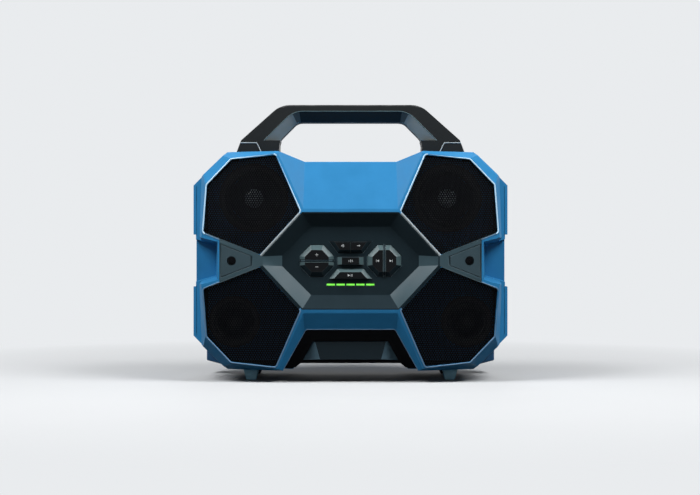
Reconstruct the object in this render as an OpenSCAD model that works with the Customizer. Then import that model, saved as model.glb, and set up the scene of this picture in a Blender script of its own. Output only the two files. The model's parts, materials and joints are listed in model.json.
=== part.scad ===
// Cordless job-site loudspeaker with a faceted front, four grilles and a fixed carry handle.
// Millimetres. +Z is up and the front looks along -Y. The origin is on the floor, under the middle.
// Sub-parts are drawn about the centre of the front face: x to the right, y back from the
// foremost plane, z up. placed() then moves them onto the floor.

/* [Body] */
// Overall width across the side bumpers
body_w = 362; // [340:1:400]
// Height of the housing, without feet and handle
body_h = 249; // [240:1:270]
// Depth from the foremost plane to the rear wall
body_d = 180; // [165:1:220]
// Horizontal leg of the cut corners
corner_cut_w = 40; // [34:0.5:46]
// Vertical leg of the cut corners
corner_cut_h = 38; // [32:0.5:44]
// How far each side bumper stands out past the front rim
bumper_w = 10; // [8:0.5:12]
// Depth of the front bezel, up to its joint with the housing
bezel_d = 44; // [42:0.5:52]
// Wall of the front bezel
bezel_wall = 3.2; // [2.6:0.1:3.8]
// Wall of the rear housing
housing_wall = 3.5; // [2.8:0.1:4.5]
// Thickness of the gasket between bezel and housing
gasket_t = 1.2; // [0.8:0.1:2]
// Gap left between pieces that are set into each other
clearance = 0.3; // [0.2:0.05:0.4]

/* [Front facets] */
// Width of the flat octagon that the control fascia fills
octagon_w = 200; // [190:1:208]
// Height of that octagon
octagon_h = 110.5; // [104:0.5:116]
// Length of its top and bottom edges
octagon_top_w = 109; // [104:1:114]
// Length of its side edges
octagon_side_h = 11.5; // [11:0.5:16]
// How far the facets round the octagon lean back, in degrees
facet_tilt = 11; // [9:0.5:13]
// Width of the rib that frames each grille window
frame_w = 1.9; // [1.7:0.1:3]
// Corner radius of the grille windows
window_r = 3; // [1.5:0.5:5]
// Drop from the shoulder to the inner top corner of a grille facet
lip_top = 2.9; // [2:0.1:4]
// Distance from the rim to the side corner of a grille facet
lip_side = 3; // [2.5:0.5:6]
// Depth at which the top bevel reaches the rim
top_rim_d = 30; // [27:0.5:33]
// Depth at which the corner bevel reaches the rim
corner_rim_d = 34; // [31:0.5:37]
// Depth at which the side bevel reaches the rim
side_rim_d = 30; // [27:0.5:33]
// Width of the sunk panel under the handle
valley_w = 104; // [98:1:107]
// How far that panel's top edge lies below the shoulders
valley_drop = 12; // [9:0.5:15]
// How far that panel leans back at its top edge
valley_d = 26; // [22:0.5:29]
// Lean of the panel above the chin, in degrees
lower_tilt = 24; // [21:0.5:25]
// Width of each handle shoulder, from the corner cut inwards
shoulder_w = 58.5; // [54:0.5:62]
// Half height of the side notch at its outer end
notch_half_h = 27.5; // [25:0.5:29]
// Width of the floor of the side notch, measured in from the rim
notch_w = 15.5; // [14:0.5:18]

/* [Grilles] */
// Thickness of the perforated sheet
sheet_t = 1.2; // [0.8:0.1:1.5]
// Width of the flange that seats behind the window
sheet_flange = 1.2; // [0.8:0.1:1.5]
// Diameter of the perforations
hole_d = 3.4; // [2.4:0.1:4]
// Distance between neighbouring perforations
hole_pitch = 6; // [5:0.25:9]

/* [Control fascia] */
// Depth of the dish
dish_d = 10; // [8:0.5:11]
// Width of the dish floor
floor_w = 154; // [148:1:160]
// Height of the dish floor
floor_h = 77; // [74:1:82]
// Length of the top and bottom edges of the floor
floor_top_w = 89; // [84:1:94]
// Length of the side edges of the floor
floor_side_h = 12; // [10:0.5:15]
// Thickness of the floor
floor_t = 3; // [2.5:0.1:3.5]
// Wing length beyond the octagon
wing_l = 47.5; // [44:0.5:48.5]
// Thickness of the wings
wing_t = 4; // [3.5:0.1:5]
// Thickness of the cover let into each wing
wing_cover_t = 1.5; // [1.2:0.1:1.8]
// Width of the visible joint round that cover
wing_joint = 0.5; // [0.3:0.05:0.8]
// Diameter of the screw hole in each wing
wing_hole_d = 10.4; // [9.5:0.1:11.5]

/* [Buttons] */
// Height of the buttons above the dish floor
button_h = 4; // [3:0.25:5]
// Travel of every button
button_travel = 1; // [0.6:0.1:1.2]
// Distance of the two octagonal pairs from the middle
pair_x = 38; // [37:0.25:39]
// Width of each octagonal pair
pair_w = 38; // [36:0.5:39]
// Height of each octagonal pair
pair_h = 35.4; // [33:0.5:37]
// Width of the fixed rib between the halves of a pair
split_w = 2.2; // [2:0.1:3]
// Width of the bevel on the buttons
button_bevel = 5.5; // [4:0.25:6]
// Number of lights in the level gauge
light_count = 5; // [3:1:6]
// Width of one light
light_w = 9.2; // [7:0.2:9.6]
// Distance between neighbouring lights
light_pitch = 11.1; // [10.4:0.1:12]
// Height of one light
light_h = 3; // [2.4:0.1:3.6]

/* [Drivers] */
// Frame radius of the upper drivers
upper_frame_r = 39; // [36:0.5:40]
// Frame radius of the lower drivers
lower_frame_r = 29; // [27:0.5:29.5]
// Distance of the upper drivers from the side of the body
upper_inset = 71; // [68:0.5:73]
// Height of the upper drivers above the middle
upper_z = 71; // [68:0.5:73]
// Distance of the lower drivers from the side of the body
lower_inset = 49; // [49:0.5:55]
// Depth of the lower drivers below the middle
lower_z = 69; // [66:0.5:72]
// Cone travel to each side of rest
cone_travel = 2.5; // [1.5:0.25:3]
// Depth of the front face of the baffle
baffle_y = 27; // [26:0.5:28.5]
// Thickness of the baffle
baffle_t = 4; // [3:0.25:5]

/* [Handle] */
// Height of the handle above the shoulders
handle_h = 56.5; // [52:0.5:66]
// Width of the handle at its foot
handle_w = 266; // [258:0.5:272]
// Width of the finger opening
grip_gap_w = 166; // [158:0.5:174]
// Height of the finger opening above the shoulders
grip_gap_h = 36.5; // [33:0.5:40]
// Thickness of the handle from front to back
handle_d = 36; // [30:0.5:44]
// Depth of the middle of the handle
handle_y = 84; // [76:0.5:100]
// Width of the bevel round the finger opening
grip_bevel = 12.5; // [9:0.5:14]
// Depth of that bevel
grip_bevel_d = 10; // [6:0.5:12]

/* [Chin] */
// Depth of the black chin at its top edge
chin_top_d = 10.3; // [9.8:0.1:12]
// Lean of the chin away from the vertical, in degrees
chin_tilt = 29; // [24:0.5:32]
// Thickness of the chin wall
chin_t = 3; // [2.5:0.1:4]

/* [Battery bay] */
// Width of the battery door
door_w = 124; // [116:1:130]
// Height of the battery door
door_h = 158; // [150:1:166]
// Thickness of the battery door
door_t = 6; // [5:0.25:8]
// Height of the middle of the door, from the middle of the body
door_z = -20; // [-24:1:-10]
// Depth of the battery tray
tray_d = 80; // [76:1:86]
// Diameter of the hinge pin
hinge_pin_d = 4; // [3:0.25:5]
// Running clearance of pins in their bores, on the radius
pin_play = 0.06; // [0.03:0.01:0.09]

/* [Feet] */
// Height of the feet
foot_h = 13.5; // [11:0.5:16]
// Width of a foot where it meets the housing
foot_w = 18; // [16:0.2:22]
// Length of a foot where it meets the housing
foot_l = 24; // [20:0.5:28]
// Share of its size that a foot keeps at the floor
foot_taper = 0.64; // [0.55:0.01:0.85]
// Half of the distance between left and right feet
foot_x = 115; // [106:1:120]
// Depth of the front feet
front_foot_y = 64; // [62:1:70]
// Depth of the rear feet
rear_foot_y = 152; // [140:1:154]

/* [Hidden] */
$fn = 48;

// Colours of the photographed finishes
blue = "#2f77b5";
navy = "#0f3f78";
charcoal = "#2b3438";
slate = "#56646a";
black = "#121416";
green = "#6be02a";
steel = "#9aa0a4";
board_green = "#1f5a3a";

// Larger than anything in the model, for cutting planes
far = 600;

// Derived body values
half_w = body_w / 2;
half_h = body_h / 2;
rim_half_w = half_w - bumper_w;
rim_corner_z = half_h - corner_cut_h + bumper_w * corner_cut_h / corner_cut_w;
shoulder_out_x = half_w - corner_cut_w;
shoulder_in_x = shoulder_out_x - shoulder_w;
valley_half_w = valley_w / 2;
housing_y = bezel_d + gasket_t;
bumper_end_y = housing_y + bumper_w / 2;
rear_bevel = 8;
flange_t = 3;
flange_w = 17;

// Step in the underside, between the legs of the chin
chin_step_half_w = 57;
chin_step_z = -half_h + 7.5;
step_right = [[chin_step_half_w + 1, chin_step_z], [chin_step_half_w + 9, -half_h]];

// Half outlines, from the bottom up the right-hand side to the top
rim_right = [
    each step_right, [shoulder_out_x, -half_h], [rim_half_w, -rim_corner_z],
    [rim_half_w, rim_corner_z],
    [shoulder_out_x, half_h], [shoulder_in_x, half_h], [valley_half_w, half_h - valley_drop]
];
body_right = [
    each step_right, [shoulder_out_x, -half_h], [half_w, corner_cut_h - half_h],
    [half_w, half_h - corner_cut_h],
    [shoulder_out_x, half_h], [shoulder_in_x, half_h], [valley_half_w, half_h - valley_drop]
];

// Octagon corners of the upper right quadrant
oct_top = [octagon_top_w / 2, octagon_h / 2];
oct_side = [octagon_w / 2, octagon_side_h / 2];
facet_run = unit([oct_top.y - oct_side.y, oct_side.x - oct_top.x]);
facet_slope = tan(facet_tilt);

// Corners of a grille facet: the two ridges that bound it start at the octagon
ridge_up = (1 - facet_run.y) / facet_run.x;
ridge_out = (1 - facet_run.x) / facet_run.y;
shoulder_corner = [oct_top.x + ridge_up * (half_h - lip_top - oct_top.y), half_h - lip_top];
crown_inset = [5, 8.2];
cheek_inset = [6.5, 9.4];
crown_corner = [shoulder_out_x, half_h] - crown_inset;
cheek_corner = [rim_half_w, rim_corner_z] - cheek_inset;
waist_corner = [rim_half_w - lip_side, oct_side.y + ridge_out * (rim_half_w - lip_side - oct_side.x)];
grille_facet = [oct_top, oct_side, waist_corner, cheek_corner, crown_corner, shoulder_corner];
wing_rib = 0.6;
frame_gaps = [frame_w, wing_rib, frame_w, frame_w, frame_w, frame_w];
window = rounded(inset_each(grille_facet, frame_gaps), window_r);

// Side notch between the speaker lobes: its outline at the floor, and how far that grows to the front
notch_x = rim_half_w - notch_w;
notch_narrowing = 10.3;
notch_draft = 7;
notch_floor_y = housing_y + 9;
notch_foot = [
    [notch_x, notch_narrowing - notch_half_h], [half_w + bumper_w, -notch_half_h],
    [half_w + bumper_w, notch_half_h], [notch_x, notch_half_h - notch_narrowing]
];
relief_d = 3;
relief_l = 95;
relief_half_h = 30;

// Control fascia
fascia_outline = symmetric_both([oct_side, oct_top]);
floor_outline = symmetric_both([[floor_w / 2, floor_side_h / 2], [floor_top_w / 2, floor_h / 2]]);
fascia_gap = 0.5;
wing_tip_x = oct_side.x + wing_l;
// Edges of a wing follow the ridges: its thin lip, its thick core and its cover lie ever further inside
wing_lip_edge = 0.4;
wing_core_edge = 3.4;
wing_cover_edge = 4.7;
wing_lip_t = 1;
wing_root_x = oct_side.x - 2;
function ridge_z(x) = oct_side.y + ridge_out * max(0, x - oct_side.x);
function wing_shape(x0, x1, edge) = [
    [x0, edge - ridge_z(x0)], [x1, edge - ridge_z(x1)], [x1, ridge_z(x1) - edge], [x0, ridge_z(x0) - edge]
];
wing_outline = wing_shape(wing_root_x, wing_tip_x, wing_lip_edge);
wing_core = wing_shape(wing_root_x, wing_tip_x, wing_core_edge);
cover_gap = 0.1;
wing_cover_in = 10.6;
wing_cover_out = 1;
wing_cover_outline = wing_shape(oct_side.x + wing_cover_in, wing_tip_x - wing_cover_out, wing_cover_edge);
cover_end_joint = 1.3;
wing_screw_x = oct_side.x + 34;
wing_screw_head_y = 15;

// Buttons, the board behind them and the level gauge
floor_back = dish_d + floor_t;
key_flange_y = floor_back + 0.2;
key_flange_t = 1.2;
key_flange_w = 1.1;
key_stem_r = 1.9;
switch_tip_y = floor_back + 7;
switch_press = 0.2;
board_y = switch_tip_y + 4.7;
board_t = 1.6;
light_z = -26.8;
board_screw = [56, 17];
board_posts = [for (sx = [-1, 1], sz = [-1, 1]) [sx * board_screw.x, sz * board_screw.y]];

// Drivers
upper_x = half_w - upper_inset;
lower_x = half_w - lower_inset;
frame_t = 2.5;
baffle_back = baffle_y + baffle_t;
driver_y = baffle_y - frame_t;
magnet_y = driver_y + 24;
coil_r = 8;
coil_t = 0.6;
coil_play = 0.25;
magnet_gap_d = 12;
coil_dip = 5;
cone_t = 0.8;
cone_margin = 12.3;
cap_r = 10;
cap_h = 4;
cap_y = driver_y + 8;

// Handle, drawn above the shoulders
handle_foot_in = grip_gap_w / 2;
handle_foot_out = handle_w / 2;
handle_leg_z = 15.3;
handle_cap_h = 12.2;
handle_top_half_w = 81;
grip_top_half_w = 61.5;
grip_leg_z = grip_gap_h - (handle_foot_in - grip_top_half_w);
handle_lean = 5.7;
handle_r = 28;
grip_r = 14;
bevel_foot = 16;
bevel_foot_drop = 10;
handle_screw_seat = handle_y + 8;

// Chin
chin_top_z = -half_h + 47;
chin_top_half_w = 50;
chin_foot_half_w = 75;
chin_foot_z = -half_h + 2.5;
chin_r = 4;

// Battery bay, door hinge and latch on the rear wall
door_gap = 1.3;
door_y = body_d + door_gap;
door_cut = 16;
door_edge = 1.5;
bay_w = door_w - 24;
bay_h = door_h - 22;
tray_wall = 2.5;
knuckle_r = hinge_pin_d / 2 + 2.2;
hinge_x = -door_w / 2 - 7;
hinge_y = body_d + knuckle_r + 0.5;
latch_x = door_w / 2 + 11;
latch_y = hinge_y;
latch_w = 42;
latch_t = 4;
latch_reach = 24;
ear_t = 7;
latch_face_y = door_y + door_t + clearance;
total_d = latch_face_y + latch_t;

// Signal sockets under their rubber flap
flap_x = half_w - 69;
flap_z = half_h - 46.5;
flap_w = 46;
flap_h = 30;
flap_t = 2.6;
socket_w = 38;
socket_h = 20;
socket_sink = 7;

// Screws that hold bezel and housing together
boss_r = 6;
screw_r = 2;
screw_head_r = 4.2;
screw_head_t = 3;
screw_seat_y = body_d - 30;
screw_tip_y = bezel_d - 9;
outer_boss = [half_w - 25, half_h - 24.5];
valley_boss = [valley_half_w - 12, half_h - 40.5];
chin_boss = [chin_step_half_w + 9, 27.5 - half_h];
low_boss = [outer_boss.x, -outer_boss.y];
boss_places = [
    for (sx = [-1, 1], p = [outer_boss, valley_boss, chin_boss, low_boss]) [sx * p.x, p.y]
];

// Vector and outline helpers
function unit(v) = v / norm(v);
function left_of(v) = [-v.y, v.x] / norm(v);
function at(points, y) = [for (p = points) [p.x, y, p.y]];
function symmetric(right) = concat(right, [for (i = [len(right) - 1 : -1 : 0]) [-right[i].x, right[i].y]]);
function symmetric_both(quarter) = symmetric(concat(
    [for (i = [len(quarter) - 1 : -1 : 0]) [quarter[i].x, -quarter[i].y]], quarter));

// Outline moved inwards by gap, for points that run anticlockwise
function inset(p, gap) = [
    for (i = [0 : len(p) - 1])
        let (
            before = left_of(p[i] - p[(i + len(p) - 1) % len(p)]),
            after = left_of(p[(i + 1) % len(p)] - p[i])
        )
        p[i] + gap * (before + after) / (1 + before * after)
];

// The same with a gap of its own for each edge, the first from point 0 to point 1
function inset_each(p, gaps) = [
    for (i = [0 : len(p) - 1])
        let (
            last = (i + len(p) - 1) % len(p),
            before = left_of(p[i] - p[last]),
            after = left_of(p[(i + 1) % len(p)] - p[i]),
            c = before * after
        )
        p[i] + ((gaps[last] - c * gaps[i]) * before + (gaps[i] - c * gaps[last]) * after) / (1 - c * c)
];

// Outline with each corner turned into an arc; r is one radius, or one for each corner
function rounded(p, r, steps = 5) = [
    for (i = [0 : len(p) - 1])
        let (
            radius = is_list(r) ? r[i] : r,
            back = unit(p[(i + len(p) - 1) % len(p)] - p[i]),
            ahead = unit(p[(i + 1) % len(p)] - p[i]),
            half = acos(back * ahead) / 2,
            middle = p[i] + unit(back + ahead) * radius / sin(half),
            from = p[i] + back * radius / tan(half) - middle,
            to = p[i] + ahead * radius / tan(half) - middle,
            start = atan2(from.y, from.x),
            turn = (atan2(to.y, to.x) - start + 540) % 360 - 180
        )
        for (s = [0 : radius > 0 ? steps : 0])
            middle + radius * [cos(start + turn * s / steps), sin(start + turn * s / steps)]
];

function rectangle(w, h, x = 0, z = 0) =
    [[x - w / 2, z - h / 2], [x + w / 2, z - h / 2], [x + w / 2, z + h / 2], [x - w / 2, z + h / 2]];
function cut_rectangle(w, h, cut, x = 0, z = 0) = [
    [x - w / 2 + cut, z - h / 2], [x + w / 2 - cut, z - h / 2], [x + w / 2, z - h / 2 + cut],
    [x + w / 2, z + h / 2 - cut], [x + w / 2 - cut, z + h / 2], [x - w / 2 + cut, z + h / 2],
    [x - w / 2, z + h / 2 - cut], [x - w / 2, z - h / 2 + cut]
];

// Planes, as a point and the unit normal that looks to the front
function plane(p, q, r) = let (n = unit(cross(q - p, r - p))) [p, n.y > 0 ? -n : n];
function grille_y(p) = facet_slope * ((p - oct_top) * facet_run);
function on_facet(p) = [p.x, grille_y(p), p.y];
function upright_plane(z0, z1, y1) = plane([-1, 0, z0], [1, 0, z0], [0, y1, z1]);

front_plane = [[0, 0, 0], [0, -1, 0]];
top_plane = upright_plane(oct_top.y, oct_top.y + 1, facet_slope);
side_plane = plane([oct_side.x, 0, -1], [oct_side.x, 0, 1], [oct_side.x + 1, facet_slope, 0]);
grille_plane = plane(on_facet(oct_top), on_facet(oct_side), on_facet(crown_corner));
top_bevel = plane(on_facet(shoulder_corner), on_facet(crown_corner),
    [(shoulder_corner.x + crown_corner.x) / 2, top_rim_d, half_h]);
corner_bevel = plane(on_facet(crown_corner), on_facet(cheek_corner),
    [(shoulder_out_x + rim_half_w) / 2, corner_rim_d, (half_h + rim_corner_z) / 2]);
side_bevel = plane(on_facet(cheek_corner), on_facet(waist_corner),
    [rim_half_w, side_rim_d, (cheek_corner.y + waist_corner.y) / 2]);
valley_start_z = oct_top.y + frame_w;
valley_top_z = half_h - valley_drop;
valley_plane = upright_plane(valley_start_z, valley_top_z, valley_d);
valley_cheek = plane([valley_half_w + 1, 0, valley_start_z], [valley_half_w, valley_d, valley_top_z],
    [shoulder_in_x, facet_slope * (half_h - oct_top.y), half_h]);
lower_plane = upright_plane(valley_start_z, valley_start_z + 1, tan(lower_tilt));
lower_cheek = plane([valley_half_w + 1, 0, valley_start_z],
    [valley_half_w, tan(lower_tilt) * (-chin_top_z - valley_start_z), -chin_top_z],
    [oct_top.x + ridge_up * (half_h - oct_top.y) - frame_w, facet_slope * (half_h - oct_top.y), half_h]);
chin_plane = plane([-1, chin_top_d, chin_top_z], [1, chin_top_d, chin_top_z],
    [0, chin_top_d + tan(chin_tilt), chin_top_z - 1]);
function chin_y(z) = chin_top_d + tan(chin_tilt) * (chin_top_z - z);

// Shared solids

// Puts a sub-part on the floor, in the middle of the part's depth
module placed() translate([0, -total_d / 2, foot_h + half_h]) children();

module mirrored_x(side) mirror([side < 0 ? 1 : 0, 0, 0]) children();

module quadrant(side, level) mirrored_x(side) mirror([0, 0, level < 0 ? 1 : 0]) children();

// Flat outline in x and z, from depth y back by t
module plate(y, t) translate([0, y + t, 0]) rotate([90, 0, 0]) linear_extrude(t) children();

// Solid between two rings of points that match one to one, the first nearer the front
module loft(front, back) {
    n = len(front);
    polyhedron(
        points = concat(front, back),
        faces = concat(
            [[for (i = [n - 1 : -1 : 0]) i]],
            [[for (i = [0 : n - 1]) n + i]],
            [for (i = [0 : n - 1]) let (j = (i + 1) % n) [i, j, n + j]],
            [for (i = [0 : n - 1]) let (j = (i + 1) % n) [i, n + j, n + i]]
        )
    );
}

// Everything in front of a plane that has been moved back
module in_front_of(plane, back = 0) {
    n = plane[1];
    translate(plane[0] - n * back) rotate(a = acos(n.z), v = [-n.y, n.x, 0])
        translate([-far, -far, 0]) cube([2 * far, 2 * far, 2 * far]);
}

// Everything behind a plane that has been moved back
module behind(plane, back = 0) in_front_of([plane[0] - plane[1] * back, -plane[1]]);

// Cylinder from depth y back by l
module rod(r, y, l, x = 0, z = 0, turn = 0)
    translate([x, y, z]) rotate([-90, 0, 0]) rotate([0, 0, turn]) cylinder(r = r, h = l);

// Cylinder along z, centred on z
module post(r, l, x, y, z = 0) translate([x, y, z - l / 2]) cylinder(r = r, h = l);

// Revolved profile of [radius, depth] points about a line that runs back
module revolved(profile, x, z) translate([x, 0, z]) rotate([-90, 0, 0]) rotate_extrude() polygon(profile);

// Front bezel

module front_cuts(back) {
    in_front_of(front_plane, back);
    for (level = [-1, 1]) quadrant(1, level) in_front_of(top_plane, back);
    for (side = [-1, 1]) quadrant(side, 1) in_front_of(side_plane, back);
    for (side = [-1, 1], level = [-1, 1]) quadrant(side, level)
        for (p = [grille_plane, top_bevel, corner_bevel, side_bevel]) in_front_of(p, back);
}

// Sunk panel between two cheeks
module valley(panel, cheek, back) intersection() {
    in_front_of(panel, back);
    in_front_of(cheek, back);
    mirror([1, 0, 0]) in_front_of(cheek, back);
}

// Drafted pocket that opens each flank between the speaker lobes
module notches(grow, floor_y = notch_floor_y) for (side = [-1, 1]) mirrored_x(side)
    loft(at(inset(notch_foot, -grow - notch_draft), -1), at(inset(notch_foot, -grow), floor_y));

module bezel_form(back) difference() {
    plate(0, back > 0 ? bezel_d + 1 : bezel_d) polygon(inset(symmetric(rim_right), back));
    front_cuts(back);
    valley(valley_plane, valley_cheek, back);
    mirror([0, 0, 1]) valley(lower_plane, lower_cheek, back);
    notches(back);
}

module fascia_opening(gap) {
    polygon(inset(fascia_outline, gap));
    for (side = [-1, 1]) mirror([side < 0 ? 1 : 0, 0])
        polygon(inset(wing_core, gap - fascia_gap - clearance));
}

chin_outline = rounded(symmetric([
    [chin_step_half_w, chin_step_z], [chin_foot_half_w - 12, chin_foot_z],
    [chin_foot_half_w, chin_foot_z], [chin_top_half_w, chin_top_z]
]), [0, 0, 0, chin_r, chin_r, 0, 0, 0]);
chin_opening_right = [[chin_foot_half_w + 2, -half_h - 1], [chin_top_half_w, chin_top_z]];

// Screw bosses that grow out of the bezel's inner face
module bezel_bosses() intersection() {
    for (p = boss_places) rod(boss_r - 1, 0, bezel_d, p.x, p.y);
    bezel_form(bezel_wall / 2);
}

module front_bezel() color(blue) {
    difference() {
        union() {
            difference() {
                bezel_form(0);
                bezel_form(bezel_wall);
            }
            bezel_bosses();
        }
        for (p = boss_places) rod(screw_r + pin_play, screw_tip_y - 1, bezel_d, p.x, p.y);
        plate(-1, bezel_d) fascia_opening(fascia_gap);
        for (side = [-1, 1]) mirrored_x(side) wing_lip(clearance, clearance / 3, -1);
        plate(-1, bezel_d + 2) polygon(rounded(
            inset(symmetric(chin_opening_right), -clearance), [0, chin_r, chin_r, 0]));
        for (side = [-1, 1], level = [-1, 1]) quadrant(side, level) {
            plate(-1, bezel_d) polygon(window);
            on_grille_facet() plate(bezel_wall - sheet_t - clearance, sheet_t + clearance + 1.5)
                polygon(sheet_outline(clearance));
        }
    }
}

// Speaker grilles

module on_grille_facet() translate([oct_top.x, 0, oct_top.y])
    rotate(a = -facet_tilt, v = [oct_side.x - oct_top.x, 0, oct_side.y - oct_top.y])
    translate([-oct_top.x, 0, -oct_top.y]) children();

// Front-view outline stretched to its true size on the leaning facet
function true_size(points) = [
    for (p = points) p + facet_run * ((p - oct_top) * facet_run) * (1 / cos(facet_tilt) - 1)
];

// Outline of a grille sheet, or of its seat when grown by a gap
function sheet_outline(gap) = true_size(rounded(
    inset_each(grille_facet, [for (g = frame_gaps) g - sheet_flange - gap]), window_r + sheet_flange + gap));

// Staggered rows of perforations with their centres inside reach
module perforations(reach) {
    row = hole_pitch * sin(60);
    columns = ceil(half_w / hole_pitch);
    rows = ceil(half_h / row);
    for (i = [0 : columns], j = [0 : rows]) {
        p = [hole_pitch * (i + (j % 2) / 2), row * j];
        if (inside(p, reach)) translate(p) circle(d = hole_d, $fn = 24);
    }
}

function inside(p, outline) = min([
    for (i = [0 : len(outline) - 1])
        left_of(outline[(i + 1) % len(outline)] - outline[i]) * (p - outline[i])
]) > 0;

module grille(side, level) {
    color(black) quadrant(side, level) on_grille_facet() plate(bezel_wall - sheet_t, sheet_t)
        difference() {
            polygon(sheet_outline(0));
            perforations(true_size(inset_each(grille_facet, [for (g = frame_gaps) g + hole_d / 2 + 1])));
        }
}

// Control fascia

module control_fascia() color(charcoal) {
    difference() {
        union() {
            loft(
                at(inset(fascia_outline, fascia_gap + clearance), 0),
                at(inset(floor_outline, -floor_t), floor_back)
            );
            for (side = [-1, 1]) mirrored_x(side) wing();
            for (p = board_posts) rod(3, floor_back - 0.5, board_y - floor_back + 0.5, p.x, p.y);
        }
        loft(at(inset(fascia_outline, fascia_gap + clearance + 1), -0.01), at(floor_outline, dish_d));
        for (k = keys) plate(dish_d - 1, floor_t + 2) polygon(inset(k[1], -clearance));
        plate(dish_d - 1, floor_t + 2) for (x = light_places())
            polygon(rectangle(light_w + clearance, light_h + clearance, x, light_z));
        for (p = board_posts) rod(1.1, floor_back, board_y, p.x, p.y);
    }
    separators();
}

// Thin edge of a wing, which hides the bezel's rib, or the seat for it when grown
module wing_lip(grow, sink, y) intersection() {
    plate(y, 30) polygon(inset(wing_outline, -grow));
    in_front_of(side_plane, wing_lip_t + sink);
}

// Wing with its sunk seat for the cover and a screw boss that reaches the baffle
module wing() difference() {
    union() {
        difference() {
            plate(0, 30) polygon(wing_core);
            behind(side_plane, wing_t);
        }
        wing_lip(0, 0, 0);
        boss_start = wing_screw_head_y - 8;
        rod(wing_hole_d / 2 + 2, boss_start, baffle_y - boss_start, wing_screw_x, turn = 90);
    }
    in_front_of(side_plane);
    intersection() {
        plate(-1, 40) polygon(wing_cover_outline);
        in_front_of(side_plane, wing_cover_t + cover_gap);
    }
    rod(wing_hole_d / 2, 0, wing_screw_head_y + screw_head_t, wing_screw_x, turn = 90);
    rod(screw_r + pin_play, 0, 40, wing_screw_x, turn = 90);
}

// Fixed ribs between the halves of the two octagonal button pairs
module separators() for (side = [-1, 1]) translate([side * pair_x, 0, 0])
    rotate([0, side < 0 ? 0 : 90, 0]) {
        flat = (side < 0 ? pair_w : pair_h) / 2;
        translate([-flat - 1, dish_d - 1, -split_w / 2]) cube([2 * flat + 2, floor_t + 1, split_w]);
        loft(
            at(rectangle(2 * (flat - button_bevel), split_w), dish_d - button_h),
            at(rectangle(2 * flat, split_w), dish_d)
        );
    }

module wing_cover(side) color(slate) mirrored_x(side) difference() {
    plate(-1, 40)
        polygon(inset_each(wing_cover_outline, [wing_joint, wing_joint, wing_joint, cover_end_joint]));
    in_front_of(side_plane);
    behind(side_plane, wing_cover_t);
    rod(wing_hole_d / 2, -1, 40, wing_screw_x, turn = 90);
}

module screw(x, z, head_y, tip_y) difference() {
    union() {
        rod(screw_head_r, head_y, screw_head_t, x, z);
        rod(screw_r, head_y + screw_head_t - 0.1, tip_y - head_y - screw_head_t, x, z);
    }
    plate(head_y - 1, 2.6) polygon(rectangle(5.2, 1.2, x, z));
    plate(head_y - 1, 2.6) polygon(rectangle(1.2, 5.2, x, z));
}

module wing_screws() color(steel) for (side = [-1, 1])
    screw(side * wing_screw_x, 0, wing_screw_head_y, baffle_back + 3);

// Buttons: each is [name, outline at the floor, outline of the top face]

function octagon_half(w, h, cut_w, cut_h, split) = [
    [w, split], [w, cut_h], [cut_w, h], [-cut_w, h], [-w, cut_h], [-w, split]
];
function moved(points, x, z) = [for (p = points) p + [x, z]];
function turned(points, s) = [for (p = points) s * p];
function quarter_turned(points) = [for (p = points) [p.y, -p.x]];

key_split = split_w / 2 + clearance;
pair_cut = 7.5;
pair_cut_h = 5.5;
pair_face = [pair_w / 2 - button_bevel, pair_h / 2 - button_bevel];
face_cut = pair_cut - 1.6;
face_cut_h = pair_cut_h - 1;
half_base = octagon_half(pair_w / 2, pair_h / 2, pair_cut, pair_cut_h, key_split);
half_top = octagon_half(pair_face.x, pair_face.y, face_cut, face_cut_h, key_split);
side_base = quarter_turned(octagon_half(pair_h / 2, pair_w / 2, pair_cut_h, pair_cut, key_split));
side_top = quarter_turned(octagon_half(pair_face.y, pair_face.x, face_cut_h, face_cut, key_split));
seam = 0.25;
top_base = [[seam, 9.2], [14.1, 9.2], [23.4, 21.6], [seam, 21.6]];
top_face = [[seam, 12.6], [12, 12.6], [18, 21.4], [seam, 21.4]];
play_base = [[-24.4, -20.4], [24.4, -20.4], [14.9, -9], [-14.9, -9]];
play_face = [[-18.6, -20], [18.6, -20], [12, -12.6], [-12, -12.6]];
function flipped(points) = [for (i = [len(points) - 1 : -1 : 0]) [-points[i].x, points[i].y]];

keys = [
    ["volume_up_button", moved(half_base, -pair_x, 0), moved(half_top, -pair_x, 0)],
    ["volume_down_button", moved(turned(half_base, -1), -pair_x, 0), moved(turned(half_top, -1), -pair_x, 0)],
    ["previous_button", moved(turned(side_base, -1), pair_x, 0), moved(turned(side_top, -1), pair_x, 0)],
    ["next_button", moved(side_base, pair_x, 0), moved(side_top, pair_x, 0)],
    ["pairing_button", flipped(top_base), flipped(top_face)],
    ["source_button", top_base, top_face],
    ["mode_button", rectangle(29.2, 9.6), rectangle(19.6, 8.4)],
    ["play_button", play_base, play_face]
];
function paired(name) = name == "pairing_button" || name == "source_button";
function key_named(name) = [for (k = keys) if (k[0] == name) k][0];
function middle_of(points) = [for (p = points) 1] * points / len(points);

// Button with a retaining flange behind the floor and a stem that reaches its switch
module button(name) {
    k = key_named(name);
    m = middle_of(k[1]);
    color(black) {
        loft(at(k[2], dish_d - button_h), at(k[1], dish_d));
        plate(dish_d, floor_t + 0.2) polygon(k[1]);
        plate(key_flange_y, key_flange_t) intersection() {
            polygon(inset(k[1], -key_flange_w));
            if (paired(name)) translate([m.x > 0 ? seam : -far - seam, -far]) square([far, 2 * far]);
            else square(2 * far, center = true);
        }
        stem_y = key_flange_y + 0.1;
        rod(key_stem_r, stem_y, switch_tip_y - switch_press - button_travel - stem_y, m.x, m.y);
    }
}

function light_places() = [for (i = [0 : light_count - 1]) (i - (light_count - 1) / 2) * light_pitch];

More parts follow.
